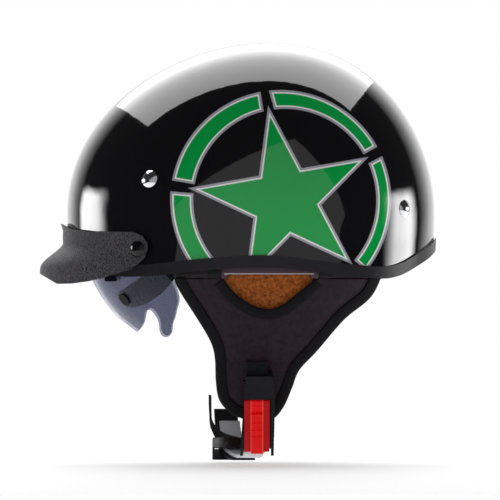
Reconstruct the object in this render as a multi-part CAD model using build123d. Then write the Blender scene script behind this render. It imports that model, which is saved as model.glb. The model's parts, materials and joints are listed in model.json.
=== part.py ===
from build123d import *
import math
import os

# Half shell motorcycle helmet. Millimetres: front is -Y, the wearer's left is +X, up is +Z.
# The origin lies on the middle plane at the level of the shell's edge, where the head seats.
# Outline shares are shares of HALF_LENGTH, written as (y, z) in the side view, front first.

# Shell: a sheared, egg-shaped dome over a nearly upright skirt
HALF_LENGTH = 139.7
HALF_WIDTH = 117.0
CROWN_RISE = 129.8
EQUATOR_Z = 46.6
CENTRE_Y = -1.7
CROWN_SHIFT = 13.3
SHIFT_POWER = 2.7
REAR_FULLNESS_SHARE = 0.04
SKIRT_TUCK_SHARE = 0.01
SKIRT_FADE = 30.0
DOME_REACH_DEG = 118.0
DOME_GRID = 19
SURFACE_TOLERANCE = 0.02
SHELL_WALL = 4.0
BEYOND = 200.0

# Edge beading
EDGE_LINE_SHARES = (
    (-1.07, 0.038), (-0.966, 0.036), (-0.858, 0.022), (-0.760, 0.000), (-0.613, -0.007),
    (-0.461, 0.005), (-0.369, 0.016), (-0.174, 0.033), (0.092, 0.043), (0.347, 0.016),
    (0.624, -0.014), (0.700, -0.018), (0.798, 0.002), (0.885, 0.049), (0.988, 0.128),
    (1.021, 0.190), (1.069, 0.288),
)
BEAD_PROUD = 1.7
BEAD_HEIGHT = 9.0
BEAD_FOOT = 1.6

# Impact liner and comfort liner
LINER_GAP = 0.3
LINER_INNER_INSET = 22.0
LINER_RAISE = 4.0
SOFT_GAP = 0.4
COMFORT_GAP = 0.8
COMFORT_THICKNESS = 6.0
HEADBAND_BOTTOM = 1.2
HEADBAND_TOP = 44.0
CROWN_PAD_FROM = 118.0

# Rivets, on both sides, with a washer and a steel strap hanger inside
FRONT_RIVET_YZ = (-77.5, 72.2)
REAR_RIVET_YZ = (114.0, 50.2)
RIVET_HEAD = 13.0
RIVET_DOME = 2.6
RIVET_SHANK = 4.8
WASHER_DIAMETER = 12.0
WASHER_THICKNESS = 1.4
HANGER_THICKNESS = 1.2
HANGER_WIDTH = 14.0
HANGER_REACH = 9.0

# Drop-down lens: a surface of revolution about the sideways pivot line
PIVOT_Y = -29.3
PIVOT_Z = 39.5
LENS_RADIUS = 102.6
LENS_HALF_SPAN = 101.5
LENS_WALL = 2.0
LENS_TOP_DEG = -20.0
LENS_SWEEP_DEG = 75.0
ARM_DEPTH = 4.0
ARM_WALL = 2.6
POCKET_DEPTH = 9.0
POCKET_TOP_DEG = 24.0
LENS_EDGE_SHARES = (
    (-0.642, -0.318), (-0.613, -0.293), (-0.593, -0.258), (-0.584, -0.215), (-0.574, -0.190),
    (-0.559, -0.186), (-0.535, -0.205), (-0.508, -0.258), (-0.501, -0.311), (-0.486, -0.331),
    (-0.467, -0.335), (-0.447, -0.321), (-0.438, -0.268), (-0.426, -0.234), (-0.416, -0.190),
    (-0.404, -0.137), (-0.414, -0.084), (-0.435, -0.030),
)
LENS_BACK_SHARES = ((-0.530, 0.062), (-0.640, 0.132), (-1.15, -0.002), (-1.15, -0.62))
ARM_OUTLINE_SHARES = (
    (-0.733, -0.098), (-0.706, -0.158), (-0.650, -0.174), (-0.581, -0.157), (-0.500, -0.105),
    (-0.440, -0.033), (-0.285, 0.170), (-0.150, 0.225), (-0.285, 0.300), (-0.500, 0.060),
)
NOSE_HALF_WIDTH = 17.0
NOSE_RISE = 13.0
HUB_RADIUS = 12.0
HUB_ROOM = 19.0
PIN_RADIUS = 4.0
RUNNING_GAP = 0.06
BRACKET_RADIUS = 13.0
PIVOT_SCREW_HEAD = 6.0
PIVOT_SCREW_SHANK = 1.5
PIVOT_SCREW_RISE = 1.8
LENS_SCREW_X = 52.0
LENS_PAD_X = 64.0
LENS_SCREW_DEG = -40.6
LENS_SCREW_HEAD = 10.0
LENS_SCREW_RISE = 1.6
LENS_SCREW_SHANK = 4.0
LENS_SPACER = 7.0
LENS_PAD_SIDE = 6.5
STOP_YZ_SHARES = ((-0.800, 0.045), (-0.800, -0.033), (-0.733, -0.033), (-0.733, 0.045))
STOP_OUTER_INSET = 6.4
STOP_INNER_INSET = 8.4

# Peak: hugs the brow of the shell and flares into a short bill
PEAK_GAP = 0.5
PEAK_WALL = 2.6
PEAK_HALF_ANGLE = 66.0
PEAK_TOP = 45.0
PEAK_SINK = -12.0
PEAK_ROWS = 25
PEAK_COLUMNS = 13
PEAK_HALF_SPAN = 110.0
BILL_REACH = 17.5
BILL_START = 24.0
BILL_END = 4.0
BILL_ARCH_Z = 1.0
BILL_ARCH_DEPTH = 30.0
BILL_ARCH_HALF = 70.0
RIM_START = 33.0
RIM_FLARE = 3.0
PEAK_OUTLINE_SHARES = (
    (-1.30, 0.283), (-1.04, 0.278), (-0.983, 0.248), (-0.885, 0.236), (-0.641, 0.233),
    (-0.592, 0.212), (-0.565, 0.174), (-0.565, 0.136), (-0.581, 0.092), (-0.624, 0.054),
    (-0.668, 0.027), (-0.749, 0.005), (-0.812, -0.015), (-0.883, -0.032), (-0.977, -0.045),
    (-1.30, -0.052),
)
SNAP_YZ = (-84.6, 19.9)
SNAP_CAP = 12.5
SNAP_RISE = 2.4
SNAP_WALL = 1.5
SNAP_FLOOR = 1.0
STUD_DIAMETER = 4.0
STUD_RISE = 1.6
STUD_ROOT = 2.5

# Ear pads: leather outside, straps between the layers, suede cushion inside, bound edge
PAD_TOP = -2.4
PAD_TOP_INSET = 6.0
PAD_LEAN = 0.46
PAD_CURL = 0.0014
LEATHER = 2.0
STRAP_THICKNESS = 1.6
STRAP_DEPTH = 2.4
CUSHION_DEPTH = 4.3
CUSHION = 5.0
CUSHION_SWELL = 3.2
SWELL_FROM = 9.5
SWELL_FADE = 15.0
SWELL_TOLERANCE = 0.2
EAR_LINING = 1.4
LINING_FADE = 11.0
LINING_TOP = 2.5
BINDING_WIDTH = 8.0
BINDING_WRAP = 1.5
BINDING_SKIN = 1.1
PAD_FRONT_SHARES = (
    (-0.432, 0.012), (-0.402, -0.071), (-0.293, -0.244), (-0.228, -0.358),
    (-0.206, -0.445), (-0.201, -0.570), (-0.185, -0.668), (-0.136, -0.733), (-0.071, -0.771),
    (0.027, -0.787), (0.109, -0.776), (0.168, -0.706), (0.212, -0.603), (0.250, -0.510),
    (0.347, -0.404), (0.489, -0.239), (0.632, -0.119), (0.700, 0.012),
)
NOTCH_SHARES = (
    (-0.178, 0.02), (-0.168, -0.005), (-0.098, -0.092), (-0.016, -0.152), (0.065, -0.179),
    (0.147, -0.163), (0.255, -0.081), (0.347, 0.000), (0.36, 0.02),
)
HANGER_STRIP_BOTTOM = -1.7
HANGER_STRIP_TOP = 17.0
HANGER_STRIP_ARCH = 0.8
HANGER_STRIP = 2.0

# Straps
STRAP_WIDTH = 18.0
FRONT_STRAP_FOOT_YZ = (-37.0, -2.0)
REAR_STRAP_FOOT_YZ = (72.0, -2.0)
STRAP_JOIN_YZ = (3.0, -52.0)
STRAP_TIP_Z = -102.3
STRAP_RELIEF = 2.0
STRAP_SHELL_INSET = 4.5
STRAP_EDGE_INSET = 8.4
STRAP_SHIFT_FROM = 35.0
STRAP_SHIFT_TO = 17.0

# Right strap's swing line, and the buckle that lies on an arc about it
SWING_X = -104.4
SWING_Z = -3.4
HEM_RADIUS = 1.2
HEM_YS = (-39.0, -34.2)
BUCKLE_X = 63.5
BUCKLE_Z = -103.3
BUCKLE_TOP_Z = -73.7
BUCKLE_BOTTOM_Z = -133.0
BUCKLE_UNDER = 6.6
BUCKLE_OVER = 6.2
BUCKLE_FLOOR = 3.6
BUCKLE_OUTLINE_SHARES = (
    (-0.033, -0.50), (0.100, -0.50), (0.118, -0.66), (0.112, -0.975), (-0.070, -0.975),
    (-0.050, -0.66),
)
CHANNEL_FRONT_Y = -7.6
CHANNEL_REAR_Y = 13.4
HEAD_BLOCK_Z = -90.5
TONGUE_FRONT_Y = -6.6
TONGUE_REAR_Y = 9.0
TONGUE_WALL = 2.4
TONGUE_TOP_Z = -92.0
TOOTH_HEIGHT = 0.8
TOOTH_PITCH = 3.0
TEETH = 10
LEVER_Z = -95.5
LEVER_RADIUS = 2.6
LEVER_PIN_RADIUS = 1.2
LEVER_RISE = 4.4
LEVER_WALL = 2.6
LEVER_RIB = 2.2
LEVER_RIB_WIDTH = 9.5
LEVER_FRONT_Y = -6.6
LEVER_REAR_Y = 12.4
LEVER_END_Z = -129.5
ANCHOR_BAR_RADIUS = 1.8
ANCHOR_BAR_Z = -80.0

# Chin run of the right strap, seen from the front as (x, z) below the buckle
CHIN_RUN_XZ = (
    (41.0, -133.8), (36.0, -136.4), (26.0, -136.6), (5.0, -131.0), (-15.0, -122.5),
    (-32.0, -112.5),
)
WEB_RUN_XZ = (
    (28.0, -139.2), (16.0, -137.3), (0.0, -131.8), (-15.0, -125.2), (-28.0, -118.6),
    (-37.0, -111.4), (-43.6, -103.0),
)
TAIL_RUN_XZ = ((6.0, -128.7), (-8.0, -122.8), (-22.0, -113.5), (-29.0, -102.0), (-30.0, -92.0))
STRAP_DRIFT_XY = ((70.0, 3.0), (40.0, 0.0), (5.0, -15.0), (-45.0, -19.0))
SLIDER_X = 7.0
SLIDER_Z = -131.8
SLIDER_TILT_DEG = 19.0
SLIDER_LENGTH = 21.0
SLIDER_WIDTH = 32.0
SLIDER_HEIGHT = 10.4
SLIDER_SLOT = 8.2
SLIDER_BAR = 1.8


def dome_point(polar, azimuth, inset):
    """One point of the shell's form, moved in by inset; azimuth 0 points to the rear."""
    long, wide, rise = HALF_LENGTH - inset, HALF_WIDTH - inset, CROWN_RISE - inset
    if polar <= math.pi / 2:
        reach, lift = math.sin(polar), math.cos(polar)
        z = EQUATOR_Z + rise * lift
    else:
        drop = (polar - math.pi / 2) * rise
        reach, lift = 1 - SKIRT_TUCK_SHARE * (1 - math.exp(-((drop / SKIRT_FADE) ** 2))), 0
        z = EQUATOR_Z - drop
    u, v = reach * math.cos(azimuth), reach * math.sin(azimuth)
    y = CENTRE_Y + long * u + CROWN_SHIFT * lift**SHIFT_POWER
    return Vector(wide * v * (1 + REAR_FULLNESS_SHARE * u), y, z)


def dome_face(inset):
    """The whole form as one spline face, its normals pointing in."""
    reach = math.radians(DOME_REACH_DEG)
    steps = [2 * i / (DOME_GRID - 1) - 1 for i in range(DOME_GRID)]
    grid = [
        [dome_point(reach * math.hypot(p, q), math.atan2(q, p), inset) for q in steps]
        for p in steps
    ]
    return Face.make_surface_from_array_of_points(grid, tol=SURFACE_TOLERANCE)


def layer(outer, inner):
    """A layer of even thickness that follows the dome between two insets."""
    return Part() + thicken(dome_face(outer), inner - outer)


def half_width(y, z, inset=0.0):
    """Sideways reach of the dome, moved in by inset, at a place in the side view."""
    lift = max(z - EQUATOR_Z, 0.0) / (CROWN_RISE - inset)
    tuck = 1.0
    if z < EQUATOR_Z:
        tuck -= SKIRT_TUCK_SHARE * (1 - math.exp(-(((EQUATOR_Z - z) / SKIRT_FADE) ** 2)))
    u = (y - CENTRE_Y - CROWN_SHIFT * lift**SHIFT_POWER) / (HALF_LENGTH - inset)
    v = math.sqrt(max(tuck**2 - lift**2 - u**2, 0.0))
    return (HALF_WIDTH - inset) * v * (1 + REAR_FULLNESS_SHARE * u)


def seat(y, z, lift=0.0):
    """Plane on the left side of the shell, facing out along its normal."""
    step = 1.0
    here = Vector(half_width(y, z), y, z)
    along = Vector(half_width(y + step, z), y + step, z) - here
    up = Vector(half_width(y, z + step), y, z + step) - here
    normal = along.cross(up).normalized()
    return Plane(here + normal * lift, x_dir=along, z_dir=normal)


def shares(points):
    return [(y * HALF_LENGTH, z * HALF_LENGTH) for y, z in points]


def side_face(outline):
    return make_face(Plane.YZ * Polyline(*outline, close=True))


def round_face(outline, inset=0.0):
    """Smooth curve from the front top, round below, to the rear top; inset moves it inward."""
    curve = Spline(*outline)
    count = 3 * len(outline)
    moved = []
    for i in range(count + 1):
        spot, way = curve @ (i / count), curve % (i / count)
        moved.append((spot.X - way.Y * inset, spot.Y + way.X * inset))
    return make_face(Plane.YZ * (Spline(*moved) + Line(moved[-1], moved[0])))


def prism(face, from_x=-BEYOND, to_x=BEYOND):
    return extrude(Pos(X=from_x) * face, to_x - from_x, dir=(1, 0, 0))


def both_sides(left):
    return [left, mirror(left, about=Plane.YZ)]


def save(name, solids):
    """Write one node; a node with several solids holds identical or paired pieces."""
    solids = solids if isinstance(solids, (list, tuple)) else [solids]
    found = [piece for solid in solids for piece in solid.solids()]
    for piece in found:
        assert piece.is_valid, name
    shape = found[0] if len(found) == 1 else Compound(children=found)
    shape.label = name
    export_step(shape, f"parts/{name}.step")
    print(name, len(found), round(sum(piece.volume for piece in found)))
    return shape


def edge_prism(low, high):
    """Everything in the side view between two heights above the shell's edge line."""
    line = shares(EDGE_LINE_SHARES)
    bottom = [(y, z + low) for y, z in line]
    top = [(y, z + high) for y, z in line]
    curve = (
        Spline(*bottom) + Line(bottom[-1], top[-1]) + Spline(*top) + Line(top[0], bottom[0])
    )
    return prism(make_face(Plane.YZ * curve))


def strip(start, end, width, overrun=0.0):
    """Straight band in the side view from one place to another."""
    run = Vector(*end) - Vector(*start)
    middle = (Vector(*start) + Vector(*end)) / 2
    turn = math.degrees(math.atan2(run.Y, run.X))
    band = Pos(middle.X, middle.Y) * Rot(Z=turn) * Rectangle(run.length + 2 * overrun, width)
    return Plane.YZ * band


# Shell, beading and the two liners
above_edge = edge_prism(BEAD_FOOT, BEYOND)
outer_shell = layer(0, SHELL_WALL) & above_edge
bead = layer(-BEAD_PROUD, SHELL_WALL + BEAD_PROUD) & edge_prism(0, BEAD_HEIGHT)
bead -= outer_shell
bead_inset = SHELL_WALL + BEAD_PROUD


def spindle(depth):
    """Solid that the lens surface of revolution encloses, its face moved in by depth."""
    span, radius = LENS_HALF_SPAN - depth, LENS_RADIUS - depth
    upper = Rectangle(2 * span, radius, align=(Align.CENTER, Align.MIN))
    turned = revolve(Ellipse(span, radius) & upper, axis=Axis.X)
    return Pos(0, PIVOT_Y, PIVOT_Z) * turned


def sector(top_deg, bottom_deg):
    """Wedge in the side view between two angles from level, measured at the pivot."""
    ends = [math.radians(top_deg), math.radians((top_deg + bottom_deg) / 2)]
    ends.append(math.radians(bottom_deg))
    rim = [(PIVOT_Y - BEYOND * math.cos(a), PIVOT_Z + BEYOND * math.sin(a)) for a in ends]
    return prism(side_face([(PIVOT_Y, PIVOT_Z)] + rim))


def pivot_rod(radius, from_x, to_x):
    rod = Cylinder(radius, to_x - from_x, align=(Align.CENTER, Align.CENTER, Align.MIN))
    return Pos(from_x, PIVOT_Y, PIVOT_Z) * Rot(Y=90) * rod


hub_inner_x = LENS_HALF_SPAN - ARM_DEPTH - ARM_WALL
hub_outer_x = LENS_HALF_SPAN - ARM_DEPTH
screw_room_x = hub_inner_x - PIVOT_SCREW_RISE - STRAP_RELIEF
pocket = sector(POCKET_TOP_DEG, -LENS_SWEEP_DEG) - spindle(POCKET_DEPTH)
hub_room = both_sides(pivot_rod(HUB_ROOM, screw_room_x, BEYOND))

strap_lines = [(FRONT_RIVET_YZ, FRONT_STRAP_FOOT_YZ), (REAR_RIVET_YZ, REAR_STRAP_FOOT_YZ)]
liner_outer = SHELL_WALL + LINER_GAP
impact_liner = layer(liner_outer, LINER_INNER_INSET) & edge_prism(LINER_RAISE, BEYOND)
impact_liner -= layer(SHELL_WALL, bead_inset + LINER_GAP) & edge_prism(
    -BEAD_HEIGHT, BEAD_HEIGHT + LINER_GAP
)
groove = layer(SHELL_WALL, STRAP_EDGE_INSET + STRAP_THICKNESS + LINER_GAP)
for start, foot in strap_lines:
    band = strip(start, foot, STRAP_WIDTH + 2 * STRAP_RELIEF, HANGER_WIDTH)
    impact_liner -= groove & prism(band)
pad_front_y = PAD_FRONT_SHARES[0][0] * HALF_LENGTH
pad_rear_y = PAD_FRONT_SHARES[-1][0] * HALF_LENGTH
strip_zone = side_face(
    [
        (pad_front_y, HANGER_STRIP_BOTTOM), (pad_rear_y, HANGER_STRIP_BOTTOM),
        (pad_rear_y, HANGER_STRIP_TOP), (pad_front_y, HANGER_STRIP_TOP),
    ]
)
impact_liner -= groove & prism(offset(strip_zone, STRAP_RELIEF))
for room in [pocket] + hub_room:
    impact_liner -= room
impact_liner = max(impact_liner.solids(), key=lambda solid: solid.volume)

comfort_outer = LINER_INNER_INSET + COMFORT_GAP
comfort = layer(comfort_outer, comfort_outer + COMFORT_THICKNESS)
slab = Box(2 * BEYOND, 2 * BEYOND, BEYOND, align=(Align.CENTER, Align.CENTER, Align.MIN))
band_box = Box(
    2 * BEYOND, 2 * BEYOND, HEADBAND_TOP - HEADBAND_BOTTOM,
    align=(Align.CENTER, Align.CENTER, Align.MIN),
)
headband = comfort & (Pos(Z=HEADBAND_BOTTOM) * band_box) & edge_prism(SOFT_GAP, BEYOND)
crown_pad = comfort & (Pos(Z=CROWN_PAD_FROM) * slab)

# Rivets with their washers and strap hangers
rivets, washers, hangers = [], [], []
for place, foot in strap_lines:
    y, z = place
    plane = seat(y, z)
    cap_radius = (RIVET_HEAD**2 / 4 + RIVET_DOME**2) / (2 * RIVET_DOME)
    cap = Pos(Z=RIVET_DOME - cap_radius) * Sphere(cap_radius)
    cap &= Cylinder(RIVET_HEAD, RIVET_DOME, align=(Align.CENTER, Align.CENTER, Align.MIN))
    washer_at = SHELL_WALL + LINER_GAP
    tail = washer_at + WASHER_THICKNESS + HANGER_THICKNESS
    down = (Align.CENTER, Align.CENTER, Align.MAX)
    seat_skirt = Cylinder(RIVET_HEAD / 2, LINER_GAP, align=down)
    shank = Cylinder(RIVET_SHANK / 2, tail, align=down)
    rivets += both_sides(plane * (cap + seat_skirt + shank) - layer(0, SHELL_WALL)
                         + plane * shank)
    washer = Pos(Z=-washer_at) * (
        Cylinder(WASHER_DIAMETER / 2, WASHER_THICKNESS, align=down)
        - Cylinder(RIVET_SHANK / 2, WASHER_THICKNESS, align=down)
    )
    washers += both_sides(plane * washer)
    run = plane.to_local_coords(Vector(half_width(*foot), *foot))
    turn = math.degrees(math.atan2(run.Y, run.X))
    plate = Rot(Z=turn) * (
        Pos(X=HANGER_REACH / 2) * Rectangle(HANGER_REACH + HANGER_WIDTH, HANGER_WIDTH)
    )
    plate = fillet(plate.vertices(), HANGER_WIDTH / 4) - Circle(RIVET_SHANK / 2)
    plate = Pos(Z=-washer_at - WASHER_THICKNESS) * extrude(plate, -HANGER_THICKNESS)
    hangers += both_sides(plane * plate)
    outer_shell -= both_sides(plane * Cylinder(RIVET_SHANK / 2, 4 * SHELL_WALL))

# Lens, its carrier arms, pivots and fasteners
lens_edge = shares(LENS_EDGE_SHARES)
lens_back = [lens_edge[-1]] + shares(LENS_BACK_SHARES) + [lens_edge[0]]
lens_face = make_face(Plane.YZ * (Spline(*lens_edge) + Polyline(*lens_back)))
lens_zone = prism(lens_face, -hub_inner_x, hub_inner_x)
lens = (spindle(0) - spindle(LENS_WALL)) & lens_zone
lens &= sector(LENS_TOP_DEG, -LENS_SWEEP_DEG)
nose_deg = math.radians(-52)
nose_foot = Vector(0, PIVOT_Y, PIVOT_Z) + Vector(
    0, -LENS_RADIUS * math.cos(nose_deg), LENS_RADIUS * math.sin(nose_deg)
)
nose_plane = Plane(nose_foot, x_dir=(1, 0, 0), z_dir=(0, -math.cos(nose_deg), math.sin(nose_deg)))
lens -= nose_plane * extrude(Ellipse(NOSE_HALF_WIDTH, NOSE_RISE), BEYOND / 4, both=True)


def lens_seat(x, depth=0.0):
    """Plane on the outside of the lens at one sideways place, facing out along its normal."""
    rise = LENS_RADIUS * math.sqrt(1 - (x / LENS_HALF_SPAN) ** 2)
    angle = math.radians(LENS_SCREW_DEG)
    radial = Vector(0, -math.cos(angle), math.sin(angle))
    spot = Vector(x, PIVOT_Y, PIVOT_Z) + radial * rise
    normal = (Vector(x / LENS_HALF_SPAN**2, 0, 0) + radial * (rise / LENS_RADIUS**2)).normalized()
    return Plane(spot - normal * depth, x_dir=Vector(1, 0, 0).cross(normal), z_dir=normal)


arm = (spindle(ARM_DEPTH) - spindle(ARM_DEPTH + ARM_WALL)) & prism(
    side_face(shares(ARM_OUTLINE_SHARES)) + Plane.YZ * Pos(PIVOT_Y, PIVOT_Z) * Circle(HUB_RADIUS),
    0, BEYOND,
)
arm -= pivot_rod(PIN_RADIUS + RUNNING_GAP, 0, BEYOND)
screw_plane = lens_seat(LENS_SCREW_X)
screw_bore = screw_plane * Cylinder(LENS_SCREW_SHANK / 2, 2 * (ARM_DEPTH + ARM_WALL + SOFT_GAP))
arm -= screw_bore
lens -= both_sides(screw_bore)
down = (Align.CENTER, Align.CENTER, Align.MAX)
up = (Align.CENTER, Align.CENTER, Align.MIN)
screw = screw_plane * (
    Cylinder(LENS_SCREW_HEAD / 2, LENS_SCREW_RISE, align=up)
    + Cylinder(LENS_SCREW_SHANK / 2, ARM_DEPTH + ARM_WALL, align=down)
) - spindle(0) + screw_plane * Cylinder(LENS_SCREW_SHANK / 2, ARM_DEPTH + ARM_WALL, align=down)
between = spindle(LENS_WALL) - spindle(ARM_DEPTH)
spacer = screw_plane * (
    Cylinder(LENS_SPACER / 2, 2 * ARM_DEPTH) - Cylinder(LENS_SCREW_SHANK / 2, 2 * ARM_DEPTH)
) & between
seat_pad = lens_seat(LENS_PAD_X) * Box(LENS_PAD_SIDE, LENS_PAD_SIDE, 2 * ARM_DEPTH) & between
bracket = pivot_rod(BRACKET_RADIUS, hub_outer_x + RUNNING_GAP, BEYOND)
pin_end_x = hub_inner_x - SOFT_GAP
bracket += pivot_rod(PIN_RADIUS, pin_end_x, BEYOND)
bracket -= pivot_rod(PIVOT_SCREW_SHANK, pin_end_x, hub_outer_x + ARM_DEPTH)
bracket = min(
    (bracket - layer(-BEYOND / 20, SHELL_WALL)).solids(), key=lambda solid: solid.center().X
)
head_x = pin_end_x - PIVOT_SCREW_RISE
pivot_screw = pivot_rod(PIVOT_SCREW_HEAD, head_x, pin_end_x)
pivot_screw += pivot_rod(PIVOT_SCREW_SHANK, head_x, hub_outer_x + ARM_DEPTH)
lens_stop = layer(STOP_OUTER_INSET, STOP_INNER_INSET) & prism(
    side_face(shares(STOP_YZ_SHARES)), 0, BEYOND
)
impact_liner -= both_sides(lens_stop)
impact_liner = max(impact_liner.solids(), key=lambda solid: solid.volume)


# Peak: rows run round the brow, columns run from the top rim down to the bill's edge
def smooth(share):
    share = min(max(share, 0.0), 1.0)
    return share * share * (3 - 2 * share)


def peak_base(turn_share, drop_share):
    """turn_share runs -1 to 1 across the brow and drop_share 0 to 1 from rim to bill edge."""
    fade = math.cos(turn_share * math.pi / 2) ** 2
    z = PEAK_TOP + (PEAK_SINK - PEAK_TOP) * drop_share
    angle = math.radians(turn_share * PEAK_HALF_ANGLE - 90)
    flare = BILL_REACH * fade * smooth((BILL_START - z) / (BILL_START - BILL_END))
    flare += RIM_FLARE * smooth((z - RIM_START) / (PEAK_TOP - RIM_START))
    u, v = math.sin(angle), math.cos(angle)
    long, wide = HALF_LENGTH + PEAK_GAP, HALF_WIDTH + PEAK_GAP
    base = Vector(wide * v * (1 + REAR_FULLNESS_SHARE * u), CENTRE_Y + long * u, z)
    return base + Vector(v / wide, u / long, 0).normalized() * flare


def peak_sheet(lift):
    """The peak's form as a spline face, moved out along its own normal by lift."""
    grid = []
    for i in range(PEAK_ROWS):
        turn = 2 * i / (PEAK_ROWS - 1) - 1
        row = []
        for j in range(PEAK_COLUMNS):
            drop, step = j / (PEAK_COLUMNS - 1), 1 / (4 * PEAK_COLUMNS)
            here = peak_base(turn, drop)
            across = peak_base(turn + step, drop) - peak_base(turn - step, drop)
            fall = peak_base(turn, drop + step) - peak_base(turn, drop - step)
            out = across.cross(fall).normalized()
            row.append(here + out * (lift if out.Y < 0 else -lift))
        grid.append(row)
    return Face.make_surface_from_array_of_points(grid, tol=SURFACE_TOLERANCE)


def front_side(solid, sheet):
    """The piece of a solid that lies ahead of a sheet crossing it."""
    pieces = split(solid, bisect_by=sheet, keep=Keep.BOTH).solids()
    return Part() + min(pieces, key=lambda piece: piece.center().Y)


peak_block = prism(side_face(shares(PEAK_OUTLINE_SHARES)), -PEAK_HALF_SPAN, PEAK_HALF_SPAN)
arch = Plane.XZ * Pos(Y=BILL_ARCH_Z - BILL_ARCH_DEPTH) * Ellipse(BILL_ARCH_HALF, BILL_ARCH_DEPTH)
peak_block -= extrude(arch, BEYOND, both=True)
peak_ahead = front_side(peak_block, peak_sheet(0))
peak = peak_ahead - front_side(peak_block, peak_sheet(PEAK_WALL))
peak = max(peak.solids(), key=lambda solid: solid.volume)

snap_plane = seat(*SNAP_YZ)
cap_floor = PEAK_GAP + PEAK_WALL
socket_radius = SNAP_CAP / 2 - SNAP_WALL
snap_cap = Cylinder(SNAP_CAP / 2, cap_floor + SNAP_RISE - PEAK_GAP, align=up)
snap_cap = Pos(Z=PEAK_GAP) * chamfer(snap_cap.edges().group_by(Axis.Z)[-1], SNAP_FLOOR / 2)
snap_cap -= Cylinder(socket_radius, cap_floor + SNAP_RISE - SNAP_FLOOR, align=up)
snap_cap = snap_plane * snap_cap
stud = Cylinder(STUD_DIAMETER / 2, STUD_RISE, align=up) + Cylinder(
    STUD_ROOT / 2, SHELL_WALL - SOFT_GAP, align=down
)
stud = snap_plane * stud
outer_shell -= both_sides(stud)
peak -= both_sides(snap_plane * Cylinder(SNAP_CAP / 2, 4 * cap_floor))
peak = max(peak.solids(), key=lambda solid: solid.volume)


# Ear pads, all cut from layers that hang from the shell's edge and lean in
def pad_x(y, z, depth=0.0):
    fall = max(-z, 0.0)
    return half_width(y, z, PAD_TOP_INSET) - PAD_LEAN * fall - PAD_CURL * fall**2 - depth


def pad_layer(depth, thickness, swell=None):
    """Layer of the pad, as deep from its outer face as given, plus any swell; swept straight."""
    steps, tolerance = (28, SWELL_TOLERANCE) if swell else (12, SURFACE_TOLERANCE)
    front, rear = pad_front_y - BINDING_WIDTH * 2, pad_rear_y + BINDING_WIDTH * 2
    bottom = PAD_FRONT_SHARES[9][1] * HALF_LENGTH - BINDING_WIDTH
    rows = [front + (rear - front) * i / steps for i in range(steps + 1)]
    columns = [bottom + (HANGER_STRIP_TOP - bottom) * j / steps for j in range(steps + 1)]
    grid = [
        [Vector(pad_x(y, z, depth + (swell(y, z) if swell else 0)), y, z) for z in columns]
        for y in rows
    ]
    sheet = Face.make_surface_from_array_of_points(grid, tol=tolerance)
    return Part() + Solid.extrude(sheet, Vector(-thickness, 0, 0))


pad_line, notch_line = shares(PAD_FRONT_SHARES), shares(NOTCH_SHARES)
notch_face = round_face(notch_line)


def below(z):
    """Everything in the side view under a height."""
    return side_face([(-BEYOND, z), (BEYOND, z), (BEYOND, -BEYOND), (-BEYOND, -BEYOND)])


def pad_outline(inset):
    """The pad's Y-shaped outline in the side view, its sides and notch moved in by inset."""
    return (round_face(pad_line, inset) & below(PAD_TOP)) - round_face(notch_line, -inset)


filled_face = pad_outline(BINDING_WRAP)
inner_face = round_face(pad_line, BINDING_WIDTH)
outer_ring = pad_outline(0) - inner_face
notch_ring = (round_face(notch_line, -BINDING_WIDTH) & inner_face) - notch_face
below_top = below(PAD_TOP - SOFT_GAP)
pad_depth = CUSHION_DEPTH + CUSHION
leather = pad_layer(0, LEATHER) & prism(filled_face, 0, BEYOND)


def spots(line):
    curve, count = Spline(*line), 8 * len(line)
    return [(curve @ (i / count)).to_tuple()[:2] for i in range(count + 1)]


edge_spots, notch_spots = spots(pad_line), spots(notch_line)
notch_middle_y = (notch_line[0][0] + notch_line[-1][0]) / 2


def cushion_swell(y, z):
    """Thickness of the suede cushion: full in its arms and stem, thin across the ear notch."""
    from_edge = min(math.dist((y, z), spot) for spot in edge_spots)
    near = min(notch_spots, key=lambda spot: math.dist((y, z), spot))
    inside = math.dist((y, z), (notch_middle_y, 0)) < math.dist(near, (notch_middle_y, 0))
    from_notch = 0 if inside else math.dist((y, z), near)
    base = EAR_LINING + (CUSHION - EAR_LINING) * smooth(from_notch / LINING_FADE)
    crown = smooth((from_edge - SWELL_FROM) / SWELL_FADE) * smooth(from_notch / SWELL_FADE)
    return base + CUSHION_SWELL * crown


cushion_face = round_face(pad_line, BINDING_WRAP) & below(PAD_TOP)
cushion_face += round_face(notch_line, BINDING_WRAP) & below(LINING_TOP)
cushion = pad_layer(CUSHION_DEPTH, 2 * CUSHION + CUSHION_SWELL)
cushion -= pad_layer(CUSHION_DEPTH, BEYOND / 4, cushion_swell)
cushion = max((cushion & prism(cushion_face, 0, BEYOND)).solids(), key=lambda solid: solid.volume)
binding_block = pad_layer(-BINDING_SKIN - SOFT_GAP, pad_depth + 2 * (BINDING_SKIN + SOFT_GAP))
binding_core = pad_layer(-SOFT_GAP, pad_depth + 2 * SOFT_GAP) & prism(
    pad_outline(BINDING_WRAP - SOFT_GAP), 0, BEYOND
)
edge_binding = (binding_block - binding_core) & prism(outer_ring & below_top, 0, BEYOND)
notch_block = pad_layer(-BINDING_SKIN - SOFT_GAP, BINDING_SKIN + CUSHION_DEPTH)
notch_binding = (notch_block - binding_core) & prism(notch_ring & below_top, 0, BEYOND)
edge_binding = max(edge_binding.solids(), key=lambda solid: solid.volume)
notch_binding = max(notch_binding.solids(), key=lambda solid: solid.volume)

# Strap webbing: two branches a side from the rivets to the pad, then a Y inside the pad


def strap_inset(z):
    share = (STRAP_SHIFT_FROM - z) / (STRAP_SHIFT_FROM - STRAP_SHIFT_TO)
    return STRAP_SHELL_INSET + (STRAP_EDGE_INSET - STRAP_SHELL_INSET) * smooth(share)


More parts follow.
